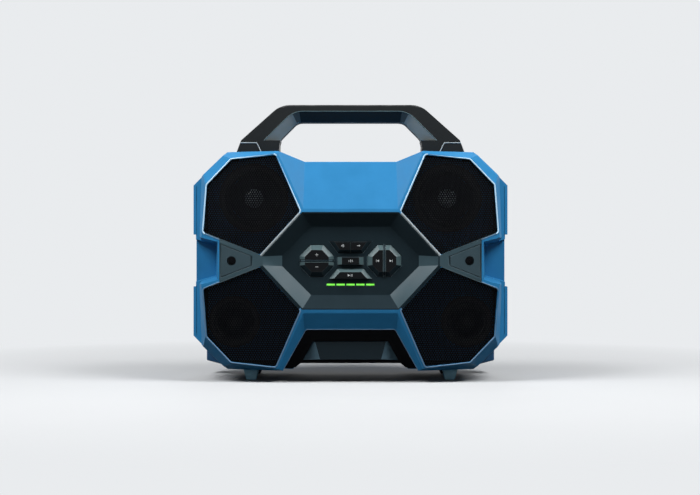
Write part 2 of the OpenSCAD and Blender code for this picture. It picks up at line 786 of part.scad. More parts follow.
module level_lights() color(green) for (x = light_places()) {
    plate(dish_d - 0.3, floor_t + 0.4) polygon(rectangle(light_w, light_h, x, light_z));
    plate(floor_back + 0.1, board_y - floor_back - 0.1)
        polygon(rectangle(light_w - 1, light_h + 1.4, x, light_z));
}

module control_board() color(board_green) difference() {
    plate(board_y, board_t) polygon(inset(floor_outline, 4));
    for (p = board_posts) rod(1.3, board_y - 1, 5, p.x, p.y);
}

module button_switches() color(steel) for (k = keys) {
    m = middle_of(k[1]);
    plate(switch_tip_y + 1.2, board_y - switch_tip_y - 1.2) polygon(rectangle(6, 6, m.x, m.y));
    rod(1.7, switch_tip_y, 1.3, m.x, m.y);
}

// Baffle and drivers

baffle_outline = inset(symmetric([
    [crown_corner.x, -crown_corner.y], [cheek_corner.x, -cheek_corner.y], cheek_corner, crown_corner,
    [shoulder_corner.x, shoulder_corner.y - 1], [valley_half_w + 2, valley_top_z - 7]
]), 2.5);
driver_places = [[upper_x, upper_z, upper_frame_r], [lower_x, -lower_z, lower_frame_r]];

module speaker_baffle() color(navy) difference() {
    union() {
        plate(baffle_y, baffle_t) polygon(baffle_outline);
        difference() {
            plate(baffle_back - 0.1, housing_y - baffle_back + 0.1) polygon(baffle_outline);
            plate(baffle_back - 0.2, housing_y) polygon(inset(baffle_outline, 2.5));
        }
    }
    notches(bezel_wall + 1);
    for (side = [-1, 1], d = driver_places) rod(d[2] - 4, baffle_y - 1, baffle_t + 2, side * d.x, d.y);
    for (side = [-1, 1]) rod(screw_r + pin_play, baffle_y - 1, baffle_t + 2, side * wing_screw_x);
    for (p = boss_places) rod(boss_r + 1, baffle_y - 1, bezel_d, p.x, p.y);
    plate(-1, bezel_d + 5) polygon(inset(symmetric(chin_opening_right), -3));
}

// Pressed basket: flange on the baffle, tapered wall with open windows, seat for the magnet
module driver_frame(d, side) color(black) mirrored_x(side) difference() {
    revolved([
        [d[2] - 7.5, driver_y], [d[2], driver_y], [d[2], baffle_y], [d[2] - 5, baffle_y],
        [20, magnet_y - 2], [20, magnet_y], [11, magnet_y], [11, magnet_y - 1.6], [18, magnet_y - 1.6],
        [d[2] - 7.5, driver_y + 1.5]
    ], d.x, d.y);
    for (a = [0 : 90 : 359]) translate([d.x, driver_y + 6, d.y]) rotate([0, a + 45, 0])
        translate([-7, 0, 15]) cube([14, 13, 30]);
}

module cone_surround(d) revolved(concat(
    [[d[2] - 2, driver_y - 0.6], [d[2] - 2, driver_y]],
    [[d[2] - 6.4, driver_y]],
    [for (a = [0 : 18 : 180]) [d[2] - 9 + 2.3 * cos(a), driver_y - 2.6 * sin(a)]],
    [for (a = [180 : -18 : 0]) [d[2] - 9 + 2.9 * cos(a), driver_y - 0.4 - 2.9 * sin(a)]]
), d.x, d.y);

module cone_surrounds() color(black) for (side = [-1, 1], d = driver_places)
    mirrored_x(side) cone_surround(d);

// Cone with its dust cap and the voice-coil former that runs in the magnet's gap
module driver_cone(d, side) color(charcoal) mirrored_x(side) revolved(concat(
    [[coil_r, magnet_y + coil_dip], [coil_r, cap_y + cone_t]],
    [for (a = [0 : 10 : 80]) [cap_r * cos(a), cap_y - cap_h * sin(a)]],
    [[0, cap_y - cap_h], [0, cap_y - cap_h - cone_t]],
    [for (a = [80 : -10 : 0]) [(cap_r + cone_t) * cos(a), cap_y - (cap_h + cone_t) * sin(a)]],
    [[d[2] - cone_margin, driver_y], [d[2] - cone_margin, driver_y + cone_t]],
    [[cap_r + cone_t, cap_y + 1.2 * cone_t], [coil_r + coil_t, cap_y + 2.2 * cone_t]],
    [[coil_r + coil_t, magnet_y + coil_dip]]
), d.x, d.y);

module driver_magnets() color(steel) for (side = [-1, 1], d = driver_places) mirrored_x(side) revolved([
    [0, magnet_y + 1], [coil_r - coil_play, magnet_y + 1], [coil_r - coil_play, magnet_y + magnet_gap_d],
    [coil_r + coil_t + coil_play, magnet_y + magnet_gap_d], [coil_r + coil_t + coil_play, magnet_y],
    [d[2] * 0.62, magnet_y], [d[2] * 0.62, magnet_y + 4], [d[2] * 0.7, magnet_y + 4],
    [d[2] * 0.7, magnet_y + 13], [d[2] * 0.6, magnet_y + 16], [0, magnet_y + 16]
], d.x, d.y);

// Chin

block_top_z = chin_top_z - 14;
block_foot_z = chin_top_z - 36;
block_top_half_w = [40, 42.3];
block_foot_half_w = [34.6, 54.5];
function block_outline(i, foot_z) = [
    [-block_top_half_w[i], block_top_z], [-block_foot_half_w[i], foot_z],
    [block_foot_half_w[i], foot_z], [block_top_half_w[i], block_top_z]
];
chin_block_face = block_outline(0, block_foot_z + 2);
chin_block_foot = block_outline(1, block_foot_z);

// Sloped cup that closes the bezel's lower opening on its front, sides and underside
module chin_surround() color(black) difference() {
    plate(0, bezel_d) polygon(chin_outline);
    in_front_of(chin_plane);
    intersection() {
        plate(-1, bezel_d + 2) polygon(inset(chin_outline, chin_t));
        behind(chin_plane, chin_t);
    }
    plate(-1, bezel_d + 2) polygon(inset(chin_block_foot, -clearance));
}

module chin_block() color(charcoal)
    loft(
        at(chin_block_face, chin_y(block_top_z) - 1),
        [for (p = chin_block_foot) [p.x, chin_y(p.y) + chin_t, p.y]]
    );

// Rear housing

module housing_form() {
    loft(at(symmetric(rim_right), housing_y), at(symmetric(body_right), bumper_end_y));
    plate(bumper_end_y - 0.01, body_d - rear_bevel - bumper_end_y + 0.02) polygon(symmetric(body_right));
    loft(
        at(symmetric(body_right), body_d - rear_bevel),
        at(inset(symmetric(body_right), rear_bevel), body_d)
    );
}

module housing_cavity() {
    bevel_y = body_d - housing_wall - rear_bevel;
    plate(housing_y + flange_t, bevel_y - housing_y - flange_t + 0.01)
        polygon(inset(symmetric(body_right), housing_wall));
    loft(
        at(inset(symmetric(body_right), housing_wall), bevel_y),
        at(inset(symmetric(body_right), housing_wall + rear_bevel), bevel_y + rear_bevel)
    );
}

// Shallow relief along each flank, behind the notch in the bezel
module flank_relief() for (side = [-1, 1]) mirrored_x(side)
    plate(housing_y - 1, relief_l) polygon(rectangle(2 * relief_d, 2 * relief_half_h, half_w, 0));

// Wall that backs the relief from inside
module relief_liner() for (side = [-1, 1]) mirrored_x(side)
    plate(bumper_end_y, relief_l - bumper_end_y + housing_y + 2)
    polygon(rectangle(housing_wall, 2 * relief_half_h + 8, half_w - relief_d - housing_wall / 2, 0));

// Walls and floor of the notch where it runs on into the housing
module notch_liner() intersection() {
    housing_form();
    notches(housing_wall, notch_floor_y + housing_wall);
}

module hinge_ear(x, y, z, l) {
    post(knuckle_r, l, x, y, z);
    translate([x - knuckle_r, body_d - housing_wall, z - l / 2])
        cube([2 * knuckle_r, y - body_d + housing_wall, l]);
}

hinge_ear_z = [door_z - door_h / 2 + 30, door_z + door_h / 2 - 30];
hinge_ear_l = 14;
knuckle_l = 18;
latch_ear_z = [door_z - latch_w / 2 - ear_t / 2 - clearance, door_z + latch_w / 2 + ear_t / 2 + clearance];

module rear_housing() color(blue) {
    difference() {
        union() {
            difference() {
                housing_form();
                housing_cavity();
                plate(housing_y - 1, flange_t + 2) polygon(inset(symmetric(rim_right), flange_w));
            }
            notch_liner();
            relief_liner();
            for (p = boss_places) rod(boss_r, housing_y, body_d - housing_wall / 2 - housing_y, p.x, p.y);
            for (z = hinge_ear_z, s = [-1, 1])
                hinge_ear(hinge_x, hinge_y, z + s * (knuckle_l + hinge_ear_l) / 2 + s * clearance, hinge_ear_l);
            for (z = latch_ear_z) hinge_ear(latch_x, latch_y, z, ear_t);
            plate(body_d - socket_sink, socket_sink - 1)
                polygon(rectangle(socket_w + 10, socket_h + 8, flap_x, flap_z));
        }
        flank_relief();
        notches(0);
        plate(body_d - housing_wall - 1, 10) polygon(cut_rectangle(bay_w, bay_h, 8, 0, door_z));
        plate(body_d - socket_sink - 1, 20) polygon(rectangle(socket_w, socket_h, flap_x, flap_z));
        for (p = boss_places) {
            rod(screw_r + pin_play + 0.1, 0, body_d, p.x, p.y);
            rod(screw_head_r + 0.6, screw_seat_y, 60, p.x, p.y);
        }
        post(hinge_pin_d / 2 + pin_play, door_h, hinge_x, hinge_y, door_z);
        post(hinge_pin_d / 2 + pin_play, latch_w + 2 * ear_t + 2, latch_x, latch_y, door_z);
    }
}

// Area that the joint between bezel and housing encloses, moved inwards
module joint_area(edge, past) difference() {
    plate(bezel_d - past, gasket_t + 2 * past) polygon(inset(symmetric(rim_right), edge));
    notches(edge);
}

module housing_seal() color(black) difference() {
    joint_area(0.8, 0);
    joint_area(2.6, 1);
    plate(bezel_d - 1, gasket_t + 2) polygon(inset(symmetric(chin_opening_right), -1));
}

module housing_screws() color(steel) for (p = boss_places)
    translate([0, 2 * screw_seat_y + screw_head_t, 0]) mirror([0, 1, 0])
    screw(p.x, p.y, screw_seat_y, 2 * screw_seat_y + screw_head_t - screw_tip_y);

// Handle

handle_outline = rounded(symmetric([
    [handle_foot_out, half_h], [handle_foot_out - handle_lean, half_h + handle_leg_z],
    [handle_top_half_w, half_h + handle_h]
]), [0, 3, handle_r, handle_r, 3, 0]);

grip_opening = rounded(symmetric([
    [handle_foot_in, half_h - 20], [handle_foot_in, half_h + grip_leg_z],
    [grip_top_half_w, half_h + grip_gap_h]
]), [0, grip_r, grip_r, grip_r, grip_r, 0]);

// Upper part of the finger opening, grown outwards and cut off at a height above the shoulders
function bevel_ring(grow, foot) = rounded(inset(symmetric([
    [grip_top_half_w + grip_gap_h - foot - grow, half_h + foot + grow], [grip_top_half_w, half_h + grip_gap_h]
]), -grow), [0, grip_r + grow, grip_r + grow, 0]);

// Bevel round the finger opening; it runs past both faces on the same slope
module grip_bevel_cut() {
    slope = grip_bevel / grip_bevel_d;
    front = handle_y - handle_d / 2;
    loft(
        at(bevel_ring(grip_bevel + slope, bevel_foot), front - 1),
        at(bevel_ring(-slope, bevel_foot - bevel_foot_drop), front + grip_bevel_d + 1)
    );
}

handle_leg_screw = [handle_foot_out - 27, 20];
handle_bar_screw = [40, (grip_gap_h + handle_h) / 2];
handle_screw_places = [
    for (side = [-1, 1], p = [handle_leg_screw, handle_bar_screw]) [side * p.x, half_h + p.y]
];

module handle_half() difference() {
    plate(handle_y - handle_d / 2, handle_d / 2) polygon(handle_outline);
    plate(0, handle_y + 1) polygon(grip_opening);
    grip_bevel_cut();
    for (p = handle_screw_places) rod(screw_r + pin_play, handle_y - 10, 20, p.x, p.y);
}

module handle_front_shell() color(black) handle_half();

module handle_rear_shell() color(black) difference() {
    translate([0, 2 * handle_y, 0]) mirror([0, 1, 0]) handle_half();
    for (p = handle_screw_places) {
        rod(screw_r + pin_play, handle_y, handle_d, p.x, p.y);
        rod(screw_head_r + 0.4, handle_screw_seat, handle_d, p.x, p.y);
    }
}

module handle_socket(side) color(black) mirrored_x(side) plate(handle_y - handle_d / 2 - 2, 2) polygon([
    [handle_foot_out - 30, half_h], [handle_foot_out, half_h],
    [handle_foot_out - handle_lean * handle_cap_h / handle_leg_z, half_h + handle_cap_h],
    [handle_foot_out - 24, half_h + handle_cap_h]
]);

module handle_screws() color(steel) translate([0, 2 * handle_screw_seat + screw_head_t, 0]) mirror([0, 1, 0])
    for (p = handle_screw_places) screw(p.x, p.y, handle_screw_seat, handle_screw_seat + 18);

// Feet and rear corner guards

module foot(side, y) color(slate) translate([side * foot_x, y, -half_h]) mirror([0, 0, 1])
    linear_extrude(foot_h, scale = foot_taper) square([foot_w, foot_l], center = true);

guard_l = 28;
guard_in = 7;
module corner_guard(side) color(navy) mirrored_x(side) plate(rear_foot_y - guard_l / 2, guard_l) polygon([
    [shoulder_out_x, -half_h], [shoulder_out_x + 14, -half_h - 2], [half_w - guard_in, -half_h + 3],
    [half_w - guard_in, -half_h + corner_cut_h * (corner_cut_w - guard_in) / corner_cut_w]
]);

// Battery bay

pack_w = 76;
pack_h = 116;
pack_d = 62;
tray_y = body_d - housing_wall - tray_d;
tray_w = bay_w + 2;
tray_h = bay_h + 2;
pack_z = door_z - tray_h / 2 + clearance + pack_h / 2;
pack_y = body_d - housing_wall - pack_d - 4;
rail_y = pack_y + 14;
standoff_l = 6;
amp_w = 88;
amp_h = 100;
amp_posts = [for (sx = [-1, 1], sz = [-1, 1]) [sx * (amp_w / 2 - 6), door_z + sz * (amp_h / 2 - 6)]];

// Open box on the inside of the rear wall, with rails for the pack and posts for the amplifier
module battery_tray() color(black) {
    difference() {
        union() {
            plate(tray_y, tray_d)
                polygon(rectangle(tray_w + 2 * tray_wall, tray_h + 2 * tray_wall, 0, door_z));
            plate(body_d - housing_wall - 2, 2) polygon(rectangle(bay_w + 16, bay_h + 16, 0, door_z));
            for (p = amp_posts) rod(3, tray_y - standoff_l, standoff_l + 1, p.x, p.y);
        }
        plate(tray_y + tray_wall, tray_d) polygon(rectangle(tray_w, tray_h, 0, door_z));
        for (p = amp_posts) rod(1.1, tray_y - standoff_l - 1, standoff_l + 2, p.x, p.y);
    }
    for (side = [-1, 1]) {
        rail_w = (tray_w - pack_w) / 2 - clearance;
        plate(tray_y + tray_wall - 1, body_d - housing_wall - tray_y - tray_wall - 4)
            polygon(rectangle(rail_w + 1, 10, side * (tray_w / 2 - rail_w / 2 + 0.5), pack_z));
    }
}

module battery_pack() color(charcoal) {
    plate(rail_y, pack_d - 14) polygon(cut_rectangle(pack_w, pack_h, 8, 0, pack_z));
    plate(pack_y, 14.01) polygon(cut_rectangle(pack_w - 14, pack_h - 24, 4, 0, pack_z));
}

module battery_terminals() color(steel) for (x = [-18, -6, 6, 18])
    translate([x - 0.8, tray_y + tray_wall, pack_z + pack_h / 2 - 34])
    cube([1.6, pack_y - tray_y - tray_wall - clearance, 14]);

module battery_door() color(blue) {
    difference() {
        union() {
            loft(
                at(cut_rectangle(door_w, door_h, door_cut, 0, door_z), door_y + door_edge),
                at(cut_rectangle(door_w - 6, door_h - 6, door_cut, 0, door_z), door_y + door_t)
            );
            plate(door_y, door_edge + 0.01) polygon(cut_rectangle(door_w, door_h, door_cut, 0, door_z));
            for (z = hinge_ear_z) {
                post(knuckle_r, knuckle_l, hinge_x, hinge_y, z);
                translate([hinge_x, door_y, z - knuckle_l / 2])
                    cube([-door_w / 2 - hinge_x + 4, 3.5, knuckle_l]);
            }
        }
        post(hinge_pin_d / 2 + pin_play, door_h, hinge_x, hinge_y, door_z);
    }
}

module door_seal() color(black) difference() {
    plate(body_d, door_gap - clearance) polygon(cut_rectangle(bay_w + 14, bay_h + 14, 10, 0, door_z));
    plate(body_d - 1, door_gap + 2) polygon(cut_rectangle(bay_w + 4, bay_h + 4, 9, 0, door_z));
}

module door_hinge_pin() color(steel) post(hinge_pin_d / 2, door_h - 6, hinge_x, hinge_y, door_z);

module door_latch() color(black) difference() {
    union() {
        post(knuckle_r, latch_w, latch_x, latch_y, door_z);
        translate([latch_x - latch_reach, latch_face_y, door_z - latch_w / 2])
            cube([latch_reach + 2, latch_t, latch_w]);
        translate([latch_x - 2, latch_y, door_z - latch_w / 2])
            cube([4, latch_face_y - latch_y + 1, latch_w]);
    }
    post(hinge_pin_d / 2 + pin_play, latch_w + 2, latch_x, latch_y, door_z);
}

module latch_pin() color(steel) post(hinge_pin_d / 2, latch_w + 2 * ear_t, latch_x, latch_y, door_z);

// Signal sockets and their flap

socket_t = 2.2;

module socket_panel() color(charcoal) difference() {
    plate(body_d - socket_sink - socket_t, socket_t)
        polygon(rectangle(socket_w + 8, socket_h + 6, flap_x, flap_z));
    plate(body_d - socket_sink - 1.8, 3) polygon(rectangle(13, 6, flap_x - 9, flap_z));
    rod(1.8, body_d - socket_sink - 1.8, 3, flap_x + 11, flap_z);
}

flap_hinge_z = flap_z + flap_h / 2 + 1;
flap_hinge_y = body_d + clearance + flap_t / 2;

// Rubber flap with a plug that fills the mouth of the socket recess
module port_flap() color(black) {
    plate(body_d + clearance, flap_t) polygon(cut_rectangle(flap_w, flap_h, 4, flap_x, flap_z));
    loft(
        at(rectangle(socket_w - 6, socket_h - 6, flap_x, flap_z), body_d - 2.5),
        at(rectangle(socket_w - 3, socket_h - 3, flap_x, flap_z), body_d + clearance + 0.1)
    );
}

// Moulded root of the flap, pressed onto the rear wall above it
module flap_anchor() color(black) plate(body_d, flap_t + clearance)
    polygon(rectangle(flap_w - 8, 6, flap_x, flap_hinge_z + 2 + 3));

can_r = 5;
can_h = 16;
can_places = [-24, -10];
sink_size = [30, 22];
sink_h = 12;
coil_w = 11;
coil_h = 9;
coil_places = [8, 24];

module amplifier_board() color(board_green) {
    board_front = tray_y - standoff_l - board_t;
    difference() {
        plate(board_front, board_t) polygon(rectangle(amp_w, amp_h, 0, door_z));
        for (p = amp_posts) rod(1.3, board_front - 1, board_t + 2, p.x, p.y);
    }
    low_row_z = door_z - amp_h / 5;
    for (x = can_places) rod(can_r, board_front - can_h, can_h + 0.5, x, low_row_z);
    plate(board_front - sink_h, sink_h + 0.5)
        polygon(rectangle(sink_size.x, sink_size.y, amp_w / 5, door_z + amp_h / 6));
    for (x = coil_places) plate(board_front - coil_h, coil_h + 0.5)
        polygon(rectangle(coil_w, coil_w, x, low_row_z));
}

placed() front_bezel();
placed() rear_housing();
placed() housing_seal();
placed() control_fascia();
placed() wing_cover(-1);  // wing_cover_left
placed() wing_cover(1);  // wing_cover_right
placed() wing_screws();
placed() grille(-1, 1);  // grille_upper_left
placed() grille(1, 1);  // grille_upper_right
placed() grille(-1, -1);  // grille_lower_left
placed() grille(1, -1);  // grille_lower_right
placed() speaker_baffle();
placed() driver_frame(driver_places[0], -1);  // upper_driver_frame_left
placed() driver_frame(driver_places[0], 1);  // upper_driver_frame_right
placed() driver_frame(driver_places[1], -1);  // lower_driver_frame_left
placed() driver_frame(driver_places[1], 1);  // lower_driver_frame_right
placed() driver_cone(driver_places[0], -1);  // upper_cone_left
placed() driver_cone(driver_places[0], 1);  // upper_cone_right
placed() driver_cone(driver_places[1], -1);  // lower_cone_left
placed() driver_cone(driver_places[1], 1);  // lower_cone_right
placed() cone_surrounds();
placed() driver_magnets();
placed() chin_surround();
placed() chin_block();
placed() handle_front_shell();
placed() handle_rear_shell();
placed() handle_socket(-1);  // handle_socket_left
placed() handle_socket(1);  // handle_socket_right
placed() handle_screws();
placed() foot(-1, front_foot_y);  // front_foot_left
placed() foot(1, front_foot_y);  // front_foot_right
placed() foot(-1, rear_foot_y);  // rear_foot_left
placed() foot(1, rear_foot_y);  // rear_foot_right
placed() corner_guard(-1);  // corner_guard_left
placed() corner_guard(1);  // corner_guard_right
placed() control_board();
placed() button_switches();
placed() level_lights();
placed() button("volume_up_button");  // volume_up_button
placed() button("volume_down_button");  // volume_down_button
placed() button("previous_button");  // previous_button
placed() button("next_button");  // next_button
placed() button("pairing_button");  // pairing_button
placed() button("source_button");  // source_button
placed() button("mode_button");  // mode_button
placed() button("play_button");  // play_button
placed() battery_tray();
placed() battery_pack();
placed() battery_terminals();
placed() battery_door();
placed() door_seal();
placed() door_hinge_pin();
placed() door_latch();
placed() latch_pin();
placed() port_flap();
placed() flap_anchor();
placed() socket_panel();
placed() amplifier_board();
placed() housing_screws();
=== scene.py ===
"""Looks of a cordless job-site speaker: moulded shells, punched grilles, lit controls and a carry handle."""

import json
import math

import bmesh
import bpy
import numpy as np
from bpy.props import FloatProperty, FloatVectorProperty, IntProperty, PointerProperty
from mathutils import Matrix, Vector
from mathutils.geometry import convex_hull_2d
from mathutils.kdtree import KDTree

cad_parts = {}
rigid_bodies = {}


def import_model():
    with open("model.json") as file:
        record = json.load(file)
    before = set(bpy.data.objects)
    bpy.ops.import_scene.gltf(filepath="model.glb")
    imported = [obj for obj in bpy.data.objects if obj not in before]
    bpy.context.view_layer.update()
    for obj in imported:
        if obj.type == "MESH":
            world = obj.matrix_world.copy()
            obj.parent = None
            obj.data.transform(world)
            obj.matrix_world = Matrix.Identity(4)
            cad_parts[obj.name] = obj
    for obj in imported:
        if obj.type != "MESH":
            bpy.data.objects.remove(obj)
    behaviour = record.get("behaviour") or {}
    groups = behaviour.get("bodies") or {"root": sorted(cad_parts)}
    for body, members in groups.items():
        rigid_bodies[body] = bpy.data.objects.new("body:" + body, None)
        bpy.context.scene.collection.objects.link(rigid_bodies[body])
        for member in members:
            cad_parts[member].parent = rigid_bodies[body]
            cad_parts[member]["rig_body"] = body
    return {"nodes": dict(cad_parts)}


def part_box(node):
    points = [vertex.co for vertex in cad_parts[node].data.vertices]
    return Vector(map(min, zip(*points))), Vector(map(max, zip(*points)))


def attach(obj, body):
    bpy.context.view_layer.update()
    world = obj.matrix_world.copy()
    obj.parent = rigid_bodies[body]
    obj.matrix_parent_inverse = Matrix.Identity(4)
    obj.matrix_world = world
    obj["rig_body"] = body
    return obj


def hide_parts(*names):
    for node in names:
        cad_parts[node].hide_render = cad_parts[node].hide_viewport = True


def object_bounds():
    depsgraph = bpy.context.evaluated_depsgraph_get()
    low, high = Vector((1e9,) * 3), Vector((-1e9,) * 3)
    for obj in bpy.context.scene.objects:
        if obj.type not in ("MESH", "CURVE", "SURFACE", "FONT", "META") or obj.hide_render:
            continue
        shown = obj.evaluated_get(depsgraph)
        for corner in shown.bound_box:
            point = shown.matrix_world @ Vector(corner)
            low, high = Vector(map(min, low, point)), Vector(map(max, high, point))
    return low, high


bl_info = {
    "name": "Job Site Speaker",
    "version": (1, 0, 0),
    "blender": (4, 5, 0),
    "location": "3D View > Sidebar > Speaker",
    "description": "Dresses a packed job-site speaker with moulded shells, punched grilles and lit controls",
    "category": "Object",
}

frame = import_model()
cad_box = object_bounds()
solids = frame["nodes"]

LEVELS = ("upper", "lower")
SIDES = ("left", "right")
# One millimetre, and the gap within which two points count as level, in metres
MM = 0.001
HAIR = 1e-5
# Breadth in metres above which a face counts as a broad panel
PANEL = 0.005
# Turns between which an outer edge is rounded
ROUND_FROM = math.radians(22)
ROUND_TO = math.radians(120)
# Share of a face's breadth that one rounding may take, and the least share of its width worth rounding
ROOM = 0.42
LEAST_ROUNDING = 0.15
# Widths of rounding round a spared corner that stay sharp
SPARED_REACH = 3
# Turns in degrees below which broad panels and other faces shade as one
PANEL_CREASE = 7.5
CURVE_CREASE = 32
# Turn at which a face is folded back over itself, and the turn below which triangles join into one face
FOLD = math.radians(178)
FLAT = math.radians(0.6)
# Most tries at unfolding a mesh and at rounding it
FOLD_TRIES = 30
ROUNDING_TRIES = 5
# Share of a normal along one axis above which a face looks along it
SQUARE = 0.97
# Half widths in metres of the floor of the control dish and of the facets above and below it, which take a
# painted shade
DISH_HALF = 0.079
FACET_HALF = 0.1
# Length below which a window's side is a cut corner, and how far a dish bead passes its corner, in metres
CUT_CORNER = 0.02
BEAD_OVERRUN = 0.0022
# Corners of a bead's round section
BEAD_SIDES = 10
# How deep in metres the print starts in a button's face
PRINT_SINK = 2e-5
# Fewest faces of a sheet that was punched
LEAST_FACES = 2000
# Radius of a cone's middle cap as a share of the cone's width
CAP_SHARE = 0.2


def srgb(red, green, blue):
    """Scene colour of a shade given as 0 to 255 on screen."""
    shades = [c / 255 for c in (red, green, blue)]
    return tuple(c / 12.92 if c <= 0.04045 else ((c + 0.055) / 1.055) ** 2.4 for c in shades)


def shade(name, note, *screen):
    """Colour property with a default given as it looks on screen."""
    return FloatVectorProperty(
        name=name, description=note, default=srgb(*screen), subtype="COLOR", size=3, min=0, max=1
    )


def length(name, note, default):
    """Size property in metres."""
    return FloatProperty(name=name, description=note, default=default, unit="LENGTH", precision=5)


def power(name, note, default):
    """Power property of a lamp, in watts."""
    return FloatProperty(name=name, description=note, default=default, unit="POWER")


class SpeakerColours(bpy.types.PropertyGroup):
    shell: shade("Shell", "Blue of the front moulding and the tub", 42, 118, 168)
    fascia: shade("Fascia", "Grey of the control dish and wings", 54, 74, 82)
    # Dish: darker grey painted as shade on the dish, the lower dish beads and the buttons' shaded bevels
    dish: shade("Dish", "Dark grey of the floor of the control dish", 30, 42, 48)
    # Button rims: lighter grey painted as highlight on the buttons' bevels and on the grip's bead
    key_rim: shade("Button rims", "Grey of the bevels round the buttons and of the grip's bead", 67, 88, 92)
    cover: shade("Wing cover", "Grey of the covers let into the wings", 46, 65, 73)
    key: shade("Buttons", "Dark face of the buttons", 9, 12, 15)
    handle: shade("Handle", "Black of the handle and its caps", 12, 17, 19)
    # Chin: also painted as shade on the tub's front flange, where it shows in the chin opening
    chin: shade("Chin", "Black of the undercut", 6, 7, 10)
    block: shade("Chin block", "Grey of the block in the chin", 25, 36, 42)
    grille: shade("Grille", "Black coat of the punched sheets", 6, 8, 11)
    guard: shade("Corner guard", "Navy of the lower rear guards", 28, 78, 118)
    # Front feet: pale colour painted as light, lighter than the feet are, as they stand in shade
    foot: shade("Front feet", "Pale slate of the front feet, which stand in shade", 160, 216, 240)
    rear_foot: shade("Rear feet", "Dark blue of the rear feet", 16, 26, 38)
    light: shade("Lights", "Green of the level lights", 128, 244, 84)
    # Beads: paler colours painted as highlight lines, brighter at the upper grilles and dimmer at the lower
    # ones
    bead: shade("Window bead", "Pale blue of the beads round the upper grilles", 178, 211, 232)
    bead_dim: shade("Lower bead", "Dull blue of the beads at lower grilles, notches and chin", 92, 128, 160)
    bead_grey: shade("Dish bead", "Grey of beads beside the dish and on the handle's caps", 150, 160, 164)
    grip: shade("Grip", "Grey of the pads inside the handle's legs", 128, 134, 132)
    symbol: shade("Symbols", "Print on the buttons", 196, 202, 204)
    floor: shade("Floor", "Paper that the speaker stands on", 192, 194, 196)


class SpeakerSizes(bpy.types.PropertyGroup):
    shell_edge: length("Shell edge", "Rounding of the blue mouldings and the pieces at the back", 0.0007)
    fascia_edge: length("Fascia edge", "Rounding of the control dish, its covers and the chin", 0.0005)
    key_edge: length("Button edge", "Rounding of the buttons", 0.00035)
    handle_edge: length("Handle edge", "Rounding of the handle", 0.0016)
    rubber_edge: length("Rubber edge", "Rounding of feet and guards", 0.0012)
    bead: length("Bead", "Radius of the beads round the grilles", 0.00085)
    grip_bead: length("Grip bead", "Radius of the bead round the handle's opening", 0.00045)
    cap_bead: length("Cap bead", "Radius of the beads along the handle's caps", 0.0006)
    light_half: length("Light strip", "Half the height of the lit strip of the level lights", 0.0009)
    hole: length("Hole", "Width of one grille hole", 0.0020)
    pitch: length("Pitch", "Distance between grille holes", 0.0028)
    margin: length("Margin", "Plain border of a grille sheet", 0.0016)
    hole_sides: IntProperty(name="Hole sides", description="Corners of one hole", default=8, min=3, max=16)
    print_height: length("Print height", "Thickness of the printed symbols", 0.00012)


class SpeakerStage(bpy.types.PropertyGroup):
    distance: length("Distance", "From the camera to the front of the speaker", 1.7)
    eye_height: length("Eye height", "Height of the camera", 0.153)
    aside: length("Aside", "Offset of the camera from the middle", -0.0006)
    lens: FloatProperty(name="Lens", description="Focal length in millimetres", default=78.06)
    key_power: power("Key", "Power of each of the two high lamps", 22)
    fill_power: power("Fill", "Power of the low front lamp", 2.8)
    back_power: power("Back", "Power of the lamp behind", 17)
    ambient: FloatProperty(name="Ambient", description="Strength of the room light", default=0.018, min=0)
    pale_from: length("Pale from", "Where the floor starts to fade to plain paper", 0.22)
    pale_to: length("Pale to", "Where the floor is plain paper", 0.75)


# Node trees


def opaque(colour):
    """Colour with full cover, or the output that gives it."""
    return colour if isinstance(colour, bpy.types.NodeSocket) else (*colour[:3], 1)


class Tree:
    """Adds nodes to a tree and joins them."""

    def __init__(self, tree):
        self.tree = tree

    def fill(self, node, values):
        """Sets a node's inputs to values or joins them to outputs."""
        for name, value in values.items():
            if isinstance(value, bpy.types.NodeSocket):
                self.tree.links.new(value, node.inputs[name])
            else:
                node.inputs[name].default_value = value

    def add(self, kind, values=None, **settings):
        """New node with its settings and its inputs."""
        node = self.tree.nodes.new(kind)
        for name, value in settings.items():
            setattr(node, name, value)
        self.fill(node, values or {})
        return node

    def part(self, name, values):
        """Outputs of a shared shader group."""
        return self.add("ShaderNodeGroup", values, node_tree=shared(name)).outputs

    def math(self, operation, first, second=0.0, third=0.0):
        """Output of a math node."""
        values = {0: first, 1: second, 2: third}
        return self.add("ShaderNodeMath", values, operation=operation).outputs[0]

    def vector(self, operation, values):
        """First output of a vector math node."""
        return self.add("ShaderNodeVectorMath", values, operation=operation).outputs[0]

    def split(self, vector):
        """Outputs X, Y and Z of a vector."""
        return self.add("ShaderNodeSeparateXYZ", {0: vector}).outputs

    def ramp(self, value, low, high, to_low=0.0, to_high=1.0):
        """Value moved evenly from one range to another and clamped."""
        values = {"Value": value, "From Min": low, "From Max": high, "To Min": to_low, "To Max": to_high}
        return self.add("ShaderNodeMapRange", values).outputs[0]

    def mix(self, factor, first, second):
        """Colour between two colours."""
        values = {0: factor, 6: opaque(first), 7: opaque(second)}
        return self.add("ShaderNodeMix", values, data_type="RGBA").outputs[2]

    def noise(self, vector, scale, detail=2.0, rough=0.5):
        """Noise value over a set of coordinates."""
        values = {"Vector": vector, "Scale": scale, "Detail": detail, "Roughness": rough}
        return self.add("ShaderNodeTexNoise", values).outputs["Fac"]

    def stretch(self, vector, scale):
        """Coordinates scaled along each axis."""
        return self.add("ShaderNodeMapping", {"Vector": vector, "Scale": scale}).outputs[0]

    def bump(self, height, strength, distance):
        """Normal of a surface that a height raises by up to a distance."""
        values = {"Strength": strength, "Distance": distance, "Height": height}
        return self.add("ShaderNodeBump", values).outputs["Normal"]


